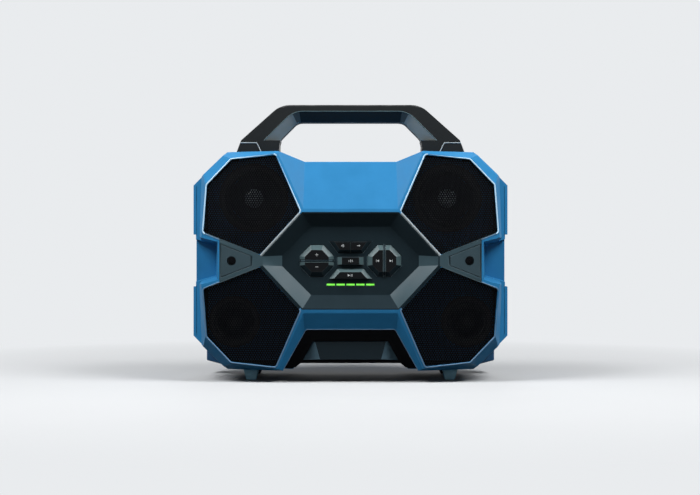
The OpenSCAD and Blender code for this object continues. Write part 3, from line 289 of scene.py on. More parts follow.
def new_group(name, kind, inputs, outputs):
    """Group with sockets of named kinds or default numbers; gives its tree, inputs and output node."""
    tree = bpy.data.node_groups.new(name, kind)
    for title, given in inputs.items():
        number = isinstance(given, float)
        socket_type = "NodeSocket" + ("Float" if number else given)
        socket = tree.interface.new_socket(title, in_out="INPUT", socket_type=socket_type)
        if number:
            socket.default_value = given
    for title, given in outputs.items():
        tree.interface.new_socket(title, in_out="OUTPUT", socket_type="NodeSocket" + given)
    nodes = Tree(tree)
    return nodes, nodes.add("NodeGroupInput").outputs, nodes.add("NodeGroupOutput")


def moulded_grain(name):
    """Spark-eroded mould texture with a broad mottle."""
    inputs = {"Vector": "Vector", "Grain": 1500.0, "Mottle Size": 45.0}
    nodes, given, out = new_group(name, "ShaderNodeTree", inputs, {"Height": "Float", "Mottle": "Float"})
    fine = nodes.noise(given["Vector"], given["Grain"], 3.0, 0.6)
    coarse = nodes.noise(given["Vector"], nodes.math("MULTIPLY", given["Grain"], 0.28), 2.0)
    height = nodes.math("MULTIPLY_ADD", coarse, 0.6, nodes.math("MULTIPLY", fine, 0.4))
    mottle = nodes.noise(given["Vector"], given["Mottle Size"], 4.0, 0.55)
    nodes.fill(out, {"Height": height, "Mottle": nodes.ramp(mottle, 0.3, 0.7)})
    return nodes.tree


def rubbed_edges(name):
    """Mask of the rounded edges, broken up where hands and bags rub them."""
    inputs = {"Vector": "Vector", "Amount": 0.5, "Patch Size": 60.0}
    nodes, given, out = new_group(name, "ShaderNodeTree", inputs, {"Mask": "Float"})
    edge = nodes.add("ShaderNodeAttribute", attribute_name="edge").outputs["Fac"]
    patch = nodes.ramp(nodes.noise(given["Vector"], given["Patch Size"], 5.0, 0.65), 0.35, 0.7)
    nicks = nodes.ramp(nodes.noise(given["Vector"], 900.0, 2.0), 0.35, 0.6, 0.55, 1.0)
    rubbed = nodes.math("MULTIPLY", nodes.math("MULTIPLY", edge, patch), nicks)
    nodes.fill(out, {"Mask": nodes.math("MULTIPLY", rubbed, given["Amount"])})
    return nodes.tree


def settled_dust(name):
    """Mask of the dust that settles on faces that look up."""
    inputs = {"Vector": "Vector", "Amount": 0.2}
    nodes, given, out = new_group(name, "ShaderNodeTree", inputs, {"Mask": "Float"})
    normal = nodes.add("ShaderNodeNewGeometry").outputs["Normal"]
    up = nodes.ramp(nodes.split(normal)["Z"], 0.55, 1.0)
    cloud = nodes.ramp(nodes.noise(given["Vector"], 38.0, 6.0, 0.7), 0.4, 0.75)
    speck = nodes.ramp(nodes.noise(given["Vector"], 700.0, 2.0), 0.45, 0.7)
    cover = nodes.math("MULTIPLY_ADD", speck, 0.6, nodes.math("MULTIPLY", cloud, 0.4))
    settled = nodes.math("MULTIPLY", up, cover)
    nodes.fill(out, {"Mask": nodes.math("MULTIPLY", settled, given["Amount"])})
    return nodes.tree


def shared(name):
    """Shader group or geometry tree by name, built the first time it is asked for."""
    makers = {
        "Moulded Grain": moulded_grain,
        "Rubbed Edges": rubbed_edges,
        "Settled Dust": settled_dust,
        "Punched Sheet": punched_sheet,
        "Frame Bead": frame_bead,
    }
    return bpy.data.node_groups.get(name) or makers[name](name)


# Materials


def new_material(name):
    """Material with its node helper, its shader and its object coordinates."""
    material = bpy.data.materials.new(name)
    material.use_nodes = True
    nodes = Tree(material.node_tree)
    shader = material.node_tree.nodes["Principled BSDF"]
    place = nodes.add("ShaderNodeTexCoord").outputs["Object"]
    return material, nodes, shader, place


def scaled(colour, factor):
    """Lighter or darker colour, no channel past 1."""
    return tuple(min(1.0, c * factor) for c in colour[:3])


def moulded(name, colour, rough, grain, depth, rub, dust, spread, gloss):
    """Moulded plastic or rubber: eroded grain, mottled tone, rubbed edges and a little dust."""
    material, nodes, shader, place = new_material(name)
    grained = nodes.part("Moulded Grain", {"Vector": place, "Grain": grain})
    rubbed = nodes.part("Rubbed Edges", {"Vector": place, "Amount": rub})["Mask"]
    dusted = nodes.part("Settled Dust", {"Vector": place, "Amount": dust})["Mask"]
    tone = nodes.mix(grained["Mottle"], scaled(colour, 1 - spread), scaled(colour, 1 + spread))
    lift, fade, grey = 1.25, 0.35, 0.55
    worn = tuple(c + fade * (grey - c) for c in scaled(colour, lift))
    tone = nodes.mix(rubbed, tone, worn)
    tone = nodes.mix(dusted, tone, srgb(150, 146, 138))
    polish = nodes.ramp(grained["Mottle"], 0.0, 1.0, rough - 0.05, rough + 0.06)
    polish = nodes.math("MULTIPLY_ADD", rubbed, -0.14, polish)
    raised = nodes.bump(grained["Height"], depth, 0.0004)
    nodes.fill(shader, {"Base Color": tone, "Roughness": polish, "Normal": raised})
    nodes.fill(shader, {"Specular IOR Level": gloss})
    return material


def metal(name, colour, rough, streak=(1.0, 1.0, 1.0)):
    """Bare metal with a streaked finish and dull patches."""
    material, nodes, shader, place = new_material(name)
    streaks = nodes.noise(nodes.stretch(place, streak), 900.0, 3.0, 0.6)
    patches = nodes.ramp(nodes.noise(place, 90.0, 5.0, 0.6), 0.45, 0.75)
    tone = nodes.mix(nodes.math("MULTIPLY", patches, 0.25), colour, scaled(colour, 0.45))
    dull = nodes.ramp(streaks, 0.2, 0.8, rough - 0.1, rough + 0.1)
    dull = nodes.math("MULTIPLY_ADD", patches, 0.2, dull)
    raised = nodes.bump(streaks, 0.08, 0.0002)
    nodes.fill(shader, {"Base Color": tone, "Metallic": 1.0, "Roughness": dull, "Normal": raised})
    return material


def coated_sheet(name, colour):
    """Powder-coated sheet: orange-peel coat with specks of dust."""
    material, nodes, shader, place = new_material(name)
    peel = nodes.noise(place, 1300.0, 2.0)
    haze = nodes.ramp(nodes.noise(place, 26.0, 5.0, 0.65), 0.35, 0.75)
    speck = nodes.ramp(nodes.noise(place, 520.0, 3.0, 0.7), 0.62, 0.8)
    tone = nodes.mix(haze, colour, scaled(colour, 1.5))
    tone = nodes.mix(nodes.math("MULTIPLY", speck, 0.12), tone, srgb(120, 118, 112))
    dull = nodes.ramp(haze, 0, 1, 0.5, 0.65)
    raised = nodes.bump(peel, 0.2, 0.0002)
    nodes.fill(shader, {"Base Color": tone, "Roughness": dull, "Specular IOR Level": 0.05, "Normal": raised})
    return material


def cone_paper(name, colour):
    """Pressed cone paper: matted fibres of uneven tone and polish."""
    material, nodes, shader, place = new_material(name)
    mat = nodes.noise(nodes.stretch(place, (1.0, 0.25, 1.0)), 620.0, 6.0, 0.75)
    tone = nodes.mix(nodes.ramp(mat, 0.3, 0.7), scaled(colour, 0.7), scaled(colour, 1.35))
    dull = nodes.ramp(mat, 0.3, 0.7, 0.5, 0.72)
    nodes.fill(shader, {"Base Color": tone, "Roughness": dull, "Normal": nodes.bump(mat, 0.3, 0.0003)})
    return material


def circuit_board(name):
    """Green solder mask over copper tracks."""
    material, nodes, shader, place = new_material(name)
    cells = {"Vector": place, "Scale": 160.0}
    tracks = nodes.add("ShaderNodeTexVoronoi", cells, distance="MANHATTAN", feature="F1").outputs["Distance"]
    line = nodes.ramp(tracks, 0.28, 0.34)
    cloud = nodes.noise(place, 120.0, 3.0)
    tone = nodes.mix(line, srgb(38, 110, 66), srgb(16, 66, 40))
    tone = nodes.mix(nodes.ramp(cloud, 0.3, 0.7, 0.0, 0.3), tone, srgb(10, 44, 30))
    dull = nodes.ramp(cloud, 0.2, 0.8, 0.25, 0.4)
    nodes.fill(shader, {"Base Color": tone, "Roughness": dull, "Normal": nodes.bump(line, 0.25, 0.0002)})
    return material


def lit_bar(name, colour):
    """Light pipe that glows, a little brighter in soft spots."""
    material, nodes, shader, place = new_material(name)
    cloud = nodes.noise(place, 260.0, 2.0)
    spots = nodes.ramp(cloud, 0.35, 0.65)
    glow = nodes.mix(spots, scaled(colour, 0.86), scaled(colour, 1.1))
    lens = nodes.mix(spots, scaled(colour, 0.2), scaled(colour, 0.3))
    dull = nodes.ramp(cloud, 0, 1, 0.2, 0.35)
    nodes.fill(shader, {"Base Color": lens, "Roughness": dull, "Specular IOR Level": 0.2})
    nodes.fill(shader, {"Emission Color": glow, "Emission Strength": 1.0})
    return material


def finish(name):
    """Material of one finish, built the first time it is asked for."""
    known = bpy.data.materials.get(name)
    if known:
        return known
    tint = bpy.context.scene.speaker_colours
    black = srgb(20, 21, 23)
    # Colour, roughness, scale and depth of the grain, rubbed edges, dust, spread of the tone and gloss
    mouldings = {
        "blue_shell": (tint.shell, 0.46, 1300.0, 0.10, 0.45, 0.05, 0.05, 0.1),
        "blue_inner": (scaled(tint.shell, 0.5), 0.6, 1300.0, 0.1, 0.0, 0.02, 0.08, 0.3),
        # Paler colours painted as highlight lines on the beads
        "bead_blue": (tint.bead, 0.3, 2200.0, 0.05, 0.0, 0.0, 0.06, 0.5),
        "bead_dim": (tint.bead_dim, 0.34, 2200.0, 0.05, 0.0, 0.0, 0.06, 0.4),
        "bead_grey": (tint.bead_grey, 0.32, 2200.0, 0.05, 0.0, 0.0, 0.06, 0.5),
        "grip_grey": (tint.grip, 0.6, 800.0, 0.3, 0.2, 0.05, 0.08, 0.4),
        # Darker copy of the grip grey, painted as shade
        "grip_dim": (scaled(tint.grip, 0.3), 0.6, 800.0, 0.3, 0.2, 0.05, 0.08, 0.3),
        "fascia_grey": (tint.fascia, 0.42, 1700.0, 0.12, 0.3, 0.05, 0.06, 0.2),
        # Darker grey painted as shade
        "dish_grey": (tint.dish, 0.5, 1700.0, 0.14, 0.3, 0.02, 0.06, 0.03),
        "cover_grey": (tint.cover, 0.42, 2100.0, 0.08, 0.3, 0.05, 0.06, 0.35),
        "key_black": (tint.key, 0.45, 1900.0, 0.08, 0.3, 0.0, 0.06, 0.1),
        # Lighter grey painted as highlight
        "key_rim": (tint.key_rim, 0.42, 1900.0, 0.08, 0.3, 0.03, 0.06, 0.35),
        "handle_black": (tint.handle, 0.56, 900.0, 0.30, 0.7, 0.05, 0.1, 0.25),
        "chin_black": (tint.chin, 0.55, 1500.0, 0.12, 0.2, 0.02, 0.1, 0.03),
        "block_grey": (tint.block, 0.46, 1500.0, 0.12, 0.3, 0.03, 0.07, 0.08),
        # Far lighter grey painted as light on the block's sides
        "block_cheek": (scaled(tint.block, 9.0), 0.5, 1500.0, 0.12, 0.3, 0.03, 0.07, 0.3),
        # Pale grey of a shiny dust cap, lightened as a painted glint
        "cap_grey": (srgb(160, 172, 176), 0.26, 900.0, 0.06, 0.0, 0.0, 0.08, 0.5),
        "guard_navy": (tint.guard, 0.62, 1100.0, 0.2, 0.4, 0.06, 0.1, 0.35),
        # Pale colour painted as light on the shaded front feet
        "foot_slate": (tint.foot, 0.64, 1100.0, 0.2, 0.4, 0.05, 0.1, 0.35),
        "foot_dark": (tint.rear_foot, 0.66, 1100.0, 0.2, 0.4, 0.05, 0.1, 0.3),
        "soft_black": (black, 0.7, 1000.0, 0.18, 0.25, 0.06, 0.12, 0.35),
        "roll_rubber": (scaled(black, 1.2), 0.5, 1600.0, 0.08, 0.0, 0.0, 0.1, 0.5),
        "tray_black": (scaled(black, 1.4), 0.55, 1400.0, 0.12, 0.2, 0.03, 0.1, 0.4),
        "pack_grey": (tint.fascia, 0.55, 1400.0, 0.16, 0.4, 0.03, 0.1, 0.45),
        "symbol_print": (tint.symbol, 0.5, 2500.0, 0.05, 0.0, 0.0, 0.04, 0.4),
    }
    if name in mouldings:
        return moulded(name, *mouldings[name])
    others = {
        "pressed_paper": (cone_paper, srgb(34, 37, 39)),
        "grille_black": (coated_sheet, tint.grille),
        "screw_steel": (metal, srgb(172, 174, 178), 0.34),
        "screw_black": (metal, srgb(30, 31, 34), 0.5),
        "dark_steel": (metal, srgb(70, 72, 76), 0.42, (1.0, 0.1, 1.0)),
        "brass": (metal, srgb(205, 168, 96), 0.3),
        "board_green": (circuit_board,),
        "lit_green": (lit_bar, tint.light),
        "lit_rim": (lit_bar, scaled(tint.light, 0.1)),
    }
    maker, *values = others[name]
    return maker(name, *values)


# Meshes


def gap_to(point, edge):
    """Distance from a point to an edge."""
    start, end = (v.co for v in edge.verts)
    along = end - start
    share = (point - start).dot(along) / max(along.length_squared, 1e-18)
    return (start + along * min(1.0, max(0.0, share)) - point).length


def edge_room(edge):
    """Widest rounding that the faces beside an edge leave room for."""
    room = 1.0
    sharpest, bluntest = math.radians(20), math.radians(155)
    start, end = (v.co for v in edge.verts)
    samples = [start.lerp(end, share) for share in (0.1, 0.5, 0.9)]
    for loop in edge.link_loops:
        after = loop.link_loop_next
        for corner, side in ((loop, loop.link_loop_prev.edge), (after, after.edge)):
            angle = corner.calc_angle()
            if sharpest < angle < bluntest:
                room = min(room, ROOM * side.calc_length() * math.sin(angle))
        for other in loop.face.edges:
            if not set(other.verts) & set(edge.verts):
                room = min(room, ROOM * min(gap_to(sample, other) for sample in samples))
    return room


def unfold(form):
    """Turns the edges at which a flat face is folded back over itself, the smallest fold first."""
    for _ in range(FOLD_TRIES):
        form.normal_update()
        pairs = [edge for edge in form.edges if len(edge.link_faces) == 2]
        folds = [edge for edge in pairs if edge.calc_face_angle(0.0) > FOLD]
        if not folds:
            break
        fold = min(folds, key=lambda edge: min(face.calc_area() for face in edge.link_faces))
        bmesh.ops.rotate_edges(form, edges=[fold])


def merged_copy(node):
    """A solid's mesh with its loose triangles joined into whole faces."""
    form = bmesh.new()
    form.from_mesh(solids[node].data)
    bmesh.ops.remove_doubles(form, verts=form.verts, dist=1e-6)
    unfold(form)
    bmesh.ops.dissolve_limit(form, angle_limit=FLAT, verts=form.verts, edges=form.edges)
    return form


def new_object(name, data):
    """Object in the scene with its mesh, camera or lamp."""
    thing = bpy.data.objects.new(name, data)
    bpy.context.scene.collection.objects.link(thing)
    return thing


def formed(name, form):
    """Object in the scene with the mesh of a form, which is freed."""
    mesh = bpy.data.meshes.new(name)
    form.to_mesh(mesh)
    form.free()
    return new_object(name, mesh)


def settle(thing):
    """Applies an object's modifiers and gives the finished mesh."""
    bpy.context.view_layer.update()
    graph = bpy.context.evaluated_depsgraph_get()
    result = thing.evaluated_get(graph)
    mesh = bpy.data.meshes.new_from_object(result, preserve_all_data_layers=True, depsgraph=graph)
    old = thing.data
    thing.modifiers.clear()
    thing.data = mesh
    mesh.name = thing.name
    bpy.data.meshes.remove(old)
    return mesh


def grow(thing, name, values):
    """Runs a geometry tree on an object, its inputs set by identifier, and gives the finished mesh."""
    modifier = thing.modifiers.new(name, "NODES")
    modifier.node_group = shared(name)
    for item in modifier.node_group.interface.items_tree:
        if item.in_out == "INPUT" and item.name in values:
            modifier[item.identifier] = values[item.name]
    return settle(thing)


def column(items, name, kind):
    """One value of each item of a mesh, as an array."""
    values = np.zeros(len(items), kind)
    items.foreach_get(name, values)
    return values


def mark_edges(mesh):
    """Keeps 1 on the crest of each rounded edge and 0 elsewhere, for the wear, then drops the spare slot."""
    index = column(mesh.polygons, "material_index", np.int32)
    total = column(mesh.polygons, "loop_total", np.int32)
    corner = column(mesh.loops, "vertex_index", np.int32)
    plain = np.zeros(len(mesh.vertices), bool)
    plain[corner[np.repeat(index == 0, total)]] = True
    crest = mesh.attributes.new("edge", "FLOAT", "POINT")
    crest.data.foreach_set("value", np.where(plain, 0.0, 1.0).astype(np.float32))
    mesh.polygons.foreach_set("material_index", np.zeros(len(mesh.polygons), np.int32))
    mesh.materials.pop(index=1)


def folded_corners(mesh):
    """Corners of the faces that a rounding has folded over themselves."""
    slack, speck = 1.02, 2e-9
    mesh.calc_loop_triangles()
    owner = column(mesh.loop_triangles, "polygon_index", np.int32)
    part = column(mesh.loop_triangles, "area", float)
    area = column(mesh.polygons, "area", float)
    total = np.bincount(owner, part, len(mesh.polygons))
    folded = np.nonzero(total > area * slack + speck)[0]
    return [mesh.vertices[v].co.copy() for f in folded for v in mesh.polygons[int(f)].vertices]


def breadth(face):
    """Width of a face across its longest edge, about."""
    return face.calc_area() / max(edge.calc_length() for edge in face.edges)


def weigh_edges(mesh, width, spared, crease):
    """Gives each outer edge its share of the rounding, none near spared corners, and creases the folds."""
    form = bmesh.new()
    form.from_mesh(mesh)
    panels = {face for face in form.faces if breadth(face) > PANEL}
    weight = form.edges.layers.float.new("bevel_weight_edge")
    near = KDTree(max(1, len(spared)))
    for index, corner in enumerate(spared):
        near.insert(corner, index)
    near.balance()
    curved = set()
    for edge in form.edges:
        edge.smooth = True
        if len(edge.link_faces) != 2:
            continue
        turn = edge.calc_face_angle_signed(0.0)
        share = min(1.0, edge_room(edge) / width) if ROUND_FROM < turn < ROUND_TO else 0.0
        if spared and any(near.find(v.co)[2] < SPARED_REACH * width for v in edge.verts):
            share = 0.0
        limit = crease if panels.issuperset(edge.link_faces) else CURVE_CREASE
        if share > LEAST_ROUNDING:
            edge[weight] = share
        elif abs(turn) > math.radians(limit):
            edge.smooth = False
        else:
            curved.update(edge.link_faces)
    for face in form.faces:
        face.smooth = face in curved or face not in panels
    form.to_mesh(mesh)
    form.free()


def round_edges(thing, width, material, crease):
    """Rounds the outer edges of a mesh by up to a width and smooths what is curved."""
    plain = thing.data
    plain.materials.clear()
    plain.materials.append(material)
    plain.materials.append(material)
    spared = []
    for _ in range(ROUNDING_TRIES):
        thing.data = plain.copy()
        weigh_edges(thing.data, width, spared, crease)
        bevel = thing.modifiers.new("Rounding", "BEVEL")
        bevel.limit_method = "WEIGHT"
        bevel.width = width
        bevel.segments = 2
        bevel.use_clamp_overlap = False
        bevel.loop_slide = False
        bevel.material = 1
        even = thing.modifiers.new("Even shading", "WEIGHTED_NORMAL")
        even.keep_sharp = True
        mesh = settle(thing)
        folded = folded_corners(mesh)
        if not folded:
            break
        spared += folded
    bpy.data.meshes.remove(plain)
    mark_edges(mesh)


def place(thing, body, slot, *nodes):
    """Rides a finished piece on its body and hides what it stands for."""
    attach(thing, body)
    if nodes:
        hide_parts(*nodes)


def dress(node, material, width, slot, crease=PANEL_CREASE):
    """Rounded copy that stands for a solid; broad faces that turn by less than the crease shade as one."""
    thing = formed(node + "_moulding", merged_copy(node))
    round_edges(thing, width, finish(material), crease)
    place(thing, solids[node]["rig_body"], slot, node)
    return thing


def smooth(node, material, slot, crease=CURVE_CREASE):
    """Merged copy of a turned or thin solid, smooth where it turns by less than the crease, in degrees."""
    form = merged_copy(node)
    for face in form.faces:
        face.smooth = True
    for edge in form.edges:
        edge.smooth = len(edge.link_faces) == 2 and edge.calc_face_angle(0.0) < math.radians(crease)
    thing = formed(node + "_finish", form)
    thing.data.materials.append(finish(material))
    place(thing, solids[node]["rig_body"], slot, node)
    return thing


def repaint(thing, material, picked):
    """Gives the faces that a test picks another finish."""
    thing.data.materials.append(finish(material))
    for face in thing.data.polygons:
        if picked(face):
            face.material_index = len(thing.data.materials) - 1


def light_strip(thing, half, material):
    """Leaves a level strip of a piece as it is and gives what lies above and below it another finish."""
    heights = [v.co.z for v in thing.data.vertices]
    middle = (min(heights) + max(heights)) / 2
    form = bmesh.new()
    form.from_mesh(thing.data)
    for height in (middle - half, middle + half):
        whole = form.verts[:] + form.edges[:] + form.faces[:]
        bmesh.ops.bisect_plane(form, geom=whole, plane_co=(0, 0, height), plane_no=(0, 0, 1))
    form.to_mesh(thing.data)
    form.free()
    repaint(thing, material, lambda face: abs(face.center.z - middle) > half)


def leg_bevel(face, least=0.3):
    """Whether a face is a bevel inside a leg of the handle, turned inwards by at least a share."""
    forward, downward = 0.3, 0.25
    inward = -face.normal.x if face.center.x > 0 else face.normal.x
    return inward > least and face.normal.y < -forward and face.normal.z < -downward


def dish_shade(face):
    """Whether a face is the floor of the control dish, or one of the facets above or below it; these take a
    darker grey as painted shade.
    """
    sideways, downward = 0.2, 0.15
    level = abs(face.normal.x) < sideways and abs(face.center.x) < DISH_HALF
    return level or (face.normal.z < -downward and abs(face.center.x) < FACET_HALF)


# Punched grilles


def punched_sheet(name):
    """Geometry tree that punches a staggered field of holes through a sheet."""
    inputs = {
        "Sheet": "Geometry",
        "Pitch": "Float",
        "Hole": "Float",
        "Margin": "Float",
        "Hole Sides": "Int",
        "Material": "Material",
    }
    nodes, given, out = new_group(name, "GeometryNodeTree", inputs, {"Punched": "Geometry"})
    box = nodes.add("GeometryNodeBoundBox", {"Geometry": given["Sheet"]}).outputs
    low, high = nodes.split(box["Min"]), nodes.split(box["Max"])
    spare_rows, punch_depth = 3.0, 0.02
    row = nodes.math("MULTIPLY", given["Pitch"], math.sqrt(0.75))
    field = {}
    for axis, step in (("X", given["Pitch"]), ("Y", row)):
        span = nodes.math("DIVIDE", nodes.math("SUBTRACT", high[axis], low[axis]), step)
        count = nodes.math("ADD", nodes.math("CEIL", span), spare_rows)
        field["Vertices " + axis] = count
        field["Size " + axis] = nodes.math("MULTIPLY", nodes.math("SUBTRACT", count, 1.0), step)
    grid = nodes.add("GeometryNodeMeshGrid", field).outputs["Mesh"]
    where = nodes.add("GeometryNodeInputPosition").outputs[0]
    line = nodes.math("DIVIDE", nodes.split(where)["Y"], row)
    odd = nodes.math("FLOORED_MODULO", nodes.math("FLOOR", nodes.math("ADD", line, 0.25)), 2.0)
    half_pitch = nodes.math("MULTIPLY", given["Pitch"], 0.5)
    aside = nodes.add("ShaderNodeCombineXYZ", {"X": nodes.math("MULTIPLY", odd, half_pitch)}).outputs[0]
    middle = nodes.vector("SCALE", {0: nodes.vector("ADD", {0: box["Min"], 1: box["Max"]}), "Scale": 0.5})
    offset = nodes.vector("ADD", {0: middle, 1: aside})
    grid = nodes.add("GeometryNodeSetPosition", {"Geometry": grid, "Offset": offset}).outputs[0]
    ray = {
        "Target Geometry": given["Sheet"],
        "Source Position": nodes.vector("ADD", {0: where, 1: (0, 0, 1)}),
        "Ray Direction": (0, 0, -1),
        "Ray Length": 2.0,
    }
    inside = nodes.add("GeometryNodeRaycast", ray).outputs["Is Hit"]
    reach = {"Geometry": given["Sheet"], "Sample Position": where}
    rim = nodes.add("GeometryNodeProximity", reach, target_element="EDGES").outputs["Distance"]
    least = nodes.math("MULTIPLY_ADD", given["Hole"], 0.5, given["Margin"])
    clear = nodes.math("GREATER_THAN", rim, least)
    keep = nodes.add("FunctionNodeBooleanMath", {0: inside, 1: clear}, operation="AND").outputs[0]
    drop = nodes.add("FunctionNodeBooleanMath", {0: keep}, operation="NOT").outputs[0]
    dropped = {"Geometry": grid, "Selection": drop}
    spots = nodes.add("GeometryNodeDeleteGeometry", dropped, domain="POINT").outputs[0]
    radius = nodes.math("MULTIPLY", given["Hole"], 0.5)
    punch = {"Vertices": given["Hole Sides"], "Radius": radius, "Depth": punch_depth}
    tool = nodes.add("GeometryNodeMeshCylinder", punch).outputs["Mesh"]
    tools = nodes.add("GeometryNodeInstanceOnPoints", {"Points": spots, "Instance": tool}).outputs[0]
    tools = nodes.add("GeometryNodeRealizeInstances", {0: tools}).outputs[0]
    pair = {"Mesh 1": given["Sheet"], "Mesh 2": tools}
    cut = nodes.add("GeometryNodeMeshBoolean", pair, operation="DIFFERENCE", solver="MANIFOLD")
    whole = nodes.add("GeometryNodeRealizeInstances", {0: cut.outputs["Mesh"]}).outputs[0]
    painted = {"Geometry": whole, "Material": given["Material"]}
    nodes.fill(out, {"Punched": nodes.add("GeometryNodeSetMaterial", painted).outputs[0]})
    return nodes.tree


def sheet_plane(node):
    """Turn of a grille sheet's plane, its outline on it, the height of its front face and its thickness."""
    mesh = solids[node].data
    front = max(mesh.polygons, key=lambda p: p.area if p.normal.y < -0.5 else 0.0)
    normal = front.normal.copy()
    across = Vector((0, 0, 1)).cross(normal).normalized()
    up = normal.cross(across)
    depth = [v.co.dot(normal) for v in mesh.vertices]
    turn = Matrix((across, up, normal)).transposed().to_4x4()
    flat = [Vector((v.co.dot(across), v.co.dot(up))) for v in mesh.vertices]
    hull = [flat[i] for i in convex_hull_2d(flat)]
    return turn, hull, max(depth), max(depth) - min(depth)


def make_grille(node):
    """Punched sheet on the plane and outline of a grille."""
    sizes = bpy.context.scene.speaker_sizes
    turn, hull, face, thickness = sheet_plane(node)
    form = bmesh.new()
    base = form.faces.new([form.verts.new((p.x, p.y, 0)) for p in hull])
    grown = bmesh.ops.extrude_face_region(form, geom=[base])["geom"]
    lifted = [g for g in grown if isinstance(g, bmesh.types.BMVert)]
    bmesh.ops.translate(form, verts=lifted, vec=(0, 0, -thickness))
    bmesh.ops.recalc_face_normals(form, faces=form.faces)
    thing = formed(node + "_punched", form)
    values = {
        "Pitch": sizes.pitch,
        "Hole": sizes.hole,
        "Margin": sizes.margin,
        "Hole Sides": sizes.hole_sides,
        "Material": finish("grille_black"),
    }
    mesh = grow(thing, "Punched Sheet", values)
    if len(mesh.polygons) < LEAST_FACES:
        raise RuntimeError(node + " was not punched")
    mesh.transform(turn @ Matrix.Translation((0, 0, face)))
    place(thing, "body", "grille_metal", node)


# Beads


def frame_bead(name):
    """Geometry tree that runs a round bead along a path."""
    inputs = {"Path": "Geometry", "Radius": "Float", "Sides": "Int", "Material": "Material"}
    nodes, given, out = new_group(name, "GeometryNodeTree", inputs, {"Bead": "Geometry"})
    line = nodes.add("GeometryNodeMeshToCurve", {"Mesh": given["Path"]}).outputs[0]
    circle = {"Resolution": given["Sides"], "Radius": given["Radius"]}
    ring = nodes.add("GeometryNodeCurvePrimitiveCircle", circle).outputs["Curve"]
    sweep = {"Curve": line, "Profile Curve": ring, "Fill Caps": True}
    swept = nodes.add("GeometryNodeCurveToMesh", sweep).outputs[0]
    soft = nodes.add("GeometryNodeSetShadeSmooth", {"Geometry": swept}).outputs[0]
    whole = nodes.add("GeometryNodeRealizeInstances", {0: soft}).outputs[0]
    painted = {"Geometry": whole, "Material": given["Material"]}
    nodes.fill(out, {"Bead": nodes.add("GeometryNodeSetMaterial", painted).outputs[0]})
    return nodes.tree


def run_bead(name, points, radius, material, slot):
    """Bead along a row of points, kept behind the foremost plane."""
    path = bpy.data.meshes.new(name)
    path.from_pydata(points, [(i, i + 1) for i in range(len(points) - 1)], [])
    thing = new_object(name, path)
    mesh = grow(thing, "Frame Bead", {"Radius": radius, "Sides": BEAD_SIDES, "Material": finish(material)})
    form = bmesh.new()
    form.from_mesh(mesh)
    for corner in form.verts:
        corner.co.y = max(corner.co.y, cad_box[0].y)
    if form.calc_volume(signed=True) < 0:
        bmesh.ops.reverse_faces(form, faces=form.faces)
    form.to_mesh(mesh)
    form.free()
    place(thing, "body", slot)


def inset(outline, distance):
    """Outline moved inwards; its points run anticlockwise."""
    moved = []
    for i, point in enumerate(outline):
        before = (point - outline[i - 1]).normalized()
        after = (outline[(i + 1) % len(outline)] - point).normalized()
        first, second = Vector((-before.y, before.x)), Vector((-after.y, after.x))
        moved.append(point + (first + second) * distance / (1 + first.dot(second)))
    return moved


def window_lines(node, step, lift):
    """Middle lines of a window's frame: round the shell, beside the control dish and along the wing."""
    turn, hull, face, _ = sheet_plane(node)
    line = [turn @ Vector((p.x, p.y, face + lift)) for p in inset(hull, step)]
    count = len(line)
    sides = [i for i in range(count) if (line[i] - line[i - 1]).length > CUT_CORNER]
    low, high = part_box("control_fascia")
    height = (low.z + high.z) / 2
    wing = min(sides, key=lambda i: abs((line[i] + line[i - 1]).z / 2 - height))
    spot = sides.index(wing)
    after, before = sides[(spot + 1) % len(sides)], sides[spot - 1]
    beside = min((after, before), key=lambda i: abs((line[i] + line[i - 1]).x))
    first, last = (beside, wing) if beside == after else (wing, beside)
    steps = (last - 1 - first) % count
    shell = [line[(first + i) % count] for i in range(steps + 1)]
    corner, other = (beside - 1, beside) if beside == after else (beside, beside - 1)
    overrun = (line[corner] - line[other]).normalized() * BEAD_OVERRUN
    dish = [line[other], line[corner] + overrun]
    return {"shell": shell, "dish": dish, "wing": [line[wing - 1], line[wing]]}


def notch_line(wing):
    """Outer part of a wing's line, past the end of the control fascia, where the side notch is."""
    wing_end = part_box("control_fascia")[1].x
    outer, inner = sorted(wing, key=lambda c: -abs(c.x))
    share = (abs(outer.x) - wing_end) / (abs(outer.x) - abs(inner.x))
    return [outer, outer.lerp(inner, share)]


def rounded_off(corner):
    """Place of a corner to the nearest micrometre."""
    return tuple(round(c, 6) for c in corner.co)


def from_left(spots, hub):
    """Spots in order from left to right, as they turn about a hub's height in the middle."""
    return sorted(spots, key=lambda c: math.atan2(c[0], c[2] - hub))


def chin_line():
    """Edge of the front moulding round the chin opening, from its left end to its right end."""
    margin, hub_drop = 0.004, 0.02
    low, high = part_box("chin_surround")
    middle = Vector((0, 0, (low.z + high.z) / 2))
    form = merged_copy("front_bezel")
    spots = set()
    for edge in form.edges:
        spot = sum((v.co for v in edge.verts), Vector()) / 2
        near = abs(spot.x) < high.x + margin and low.z < spot.z < high.z + margin
        if not near or len(edge.link_faces) != 2:
            continue
        front, wall = sorted(edge.link_faces, key=lambda face: face.normal.y)
        inward = Vector((middle.x - spot.x, 0, middle.z - spot.z))
        if front.normal.y < -0.5 and wall.normal.y > -0.35 and wall.normal.dot(inward) > 0:
            spots.update(rounded_off(v) for v in edge.verts)
    form.free()
    return from_left(spots, low.z - hub_drop)


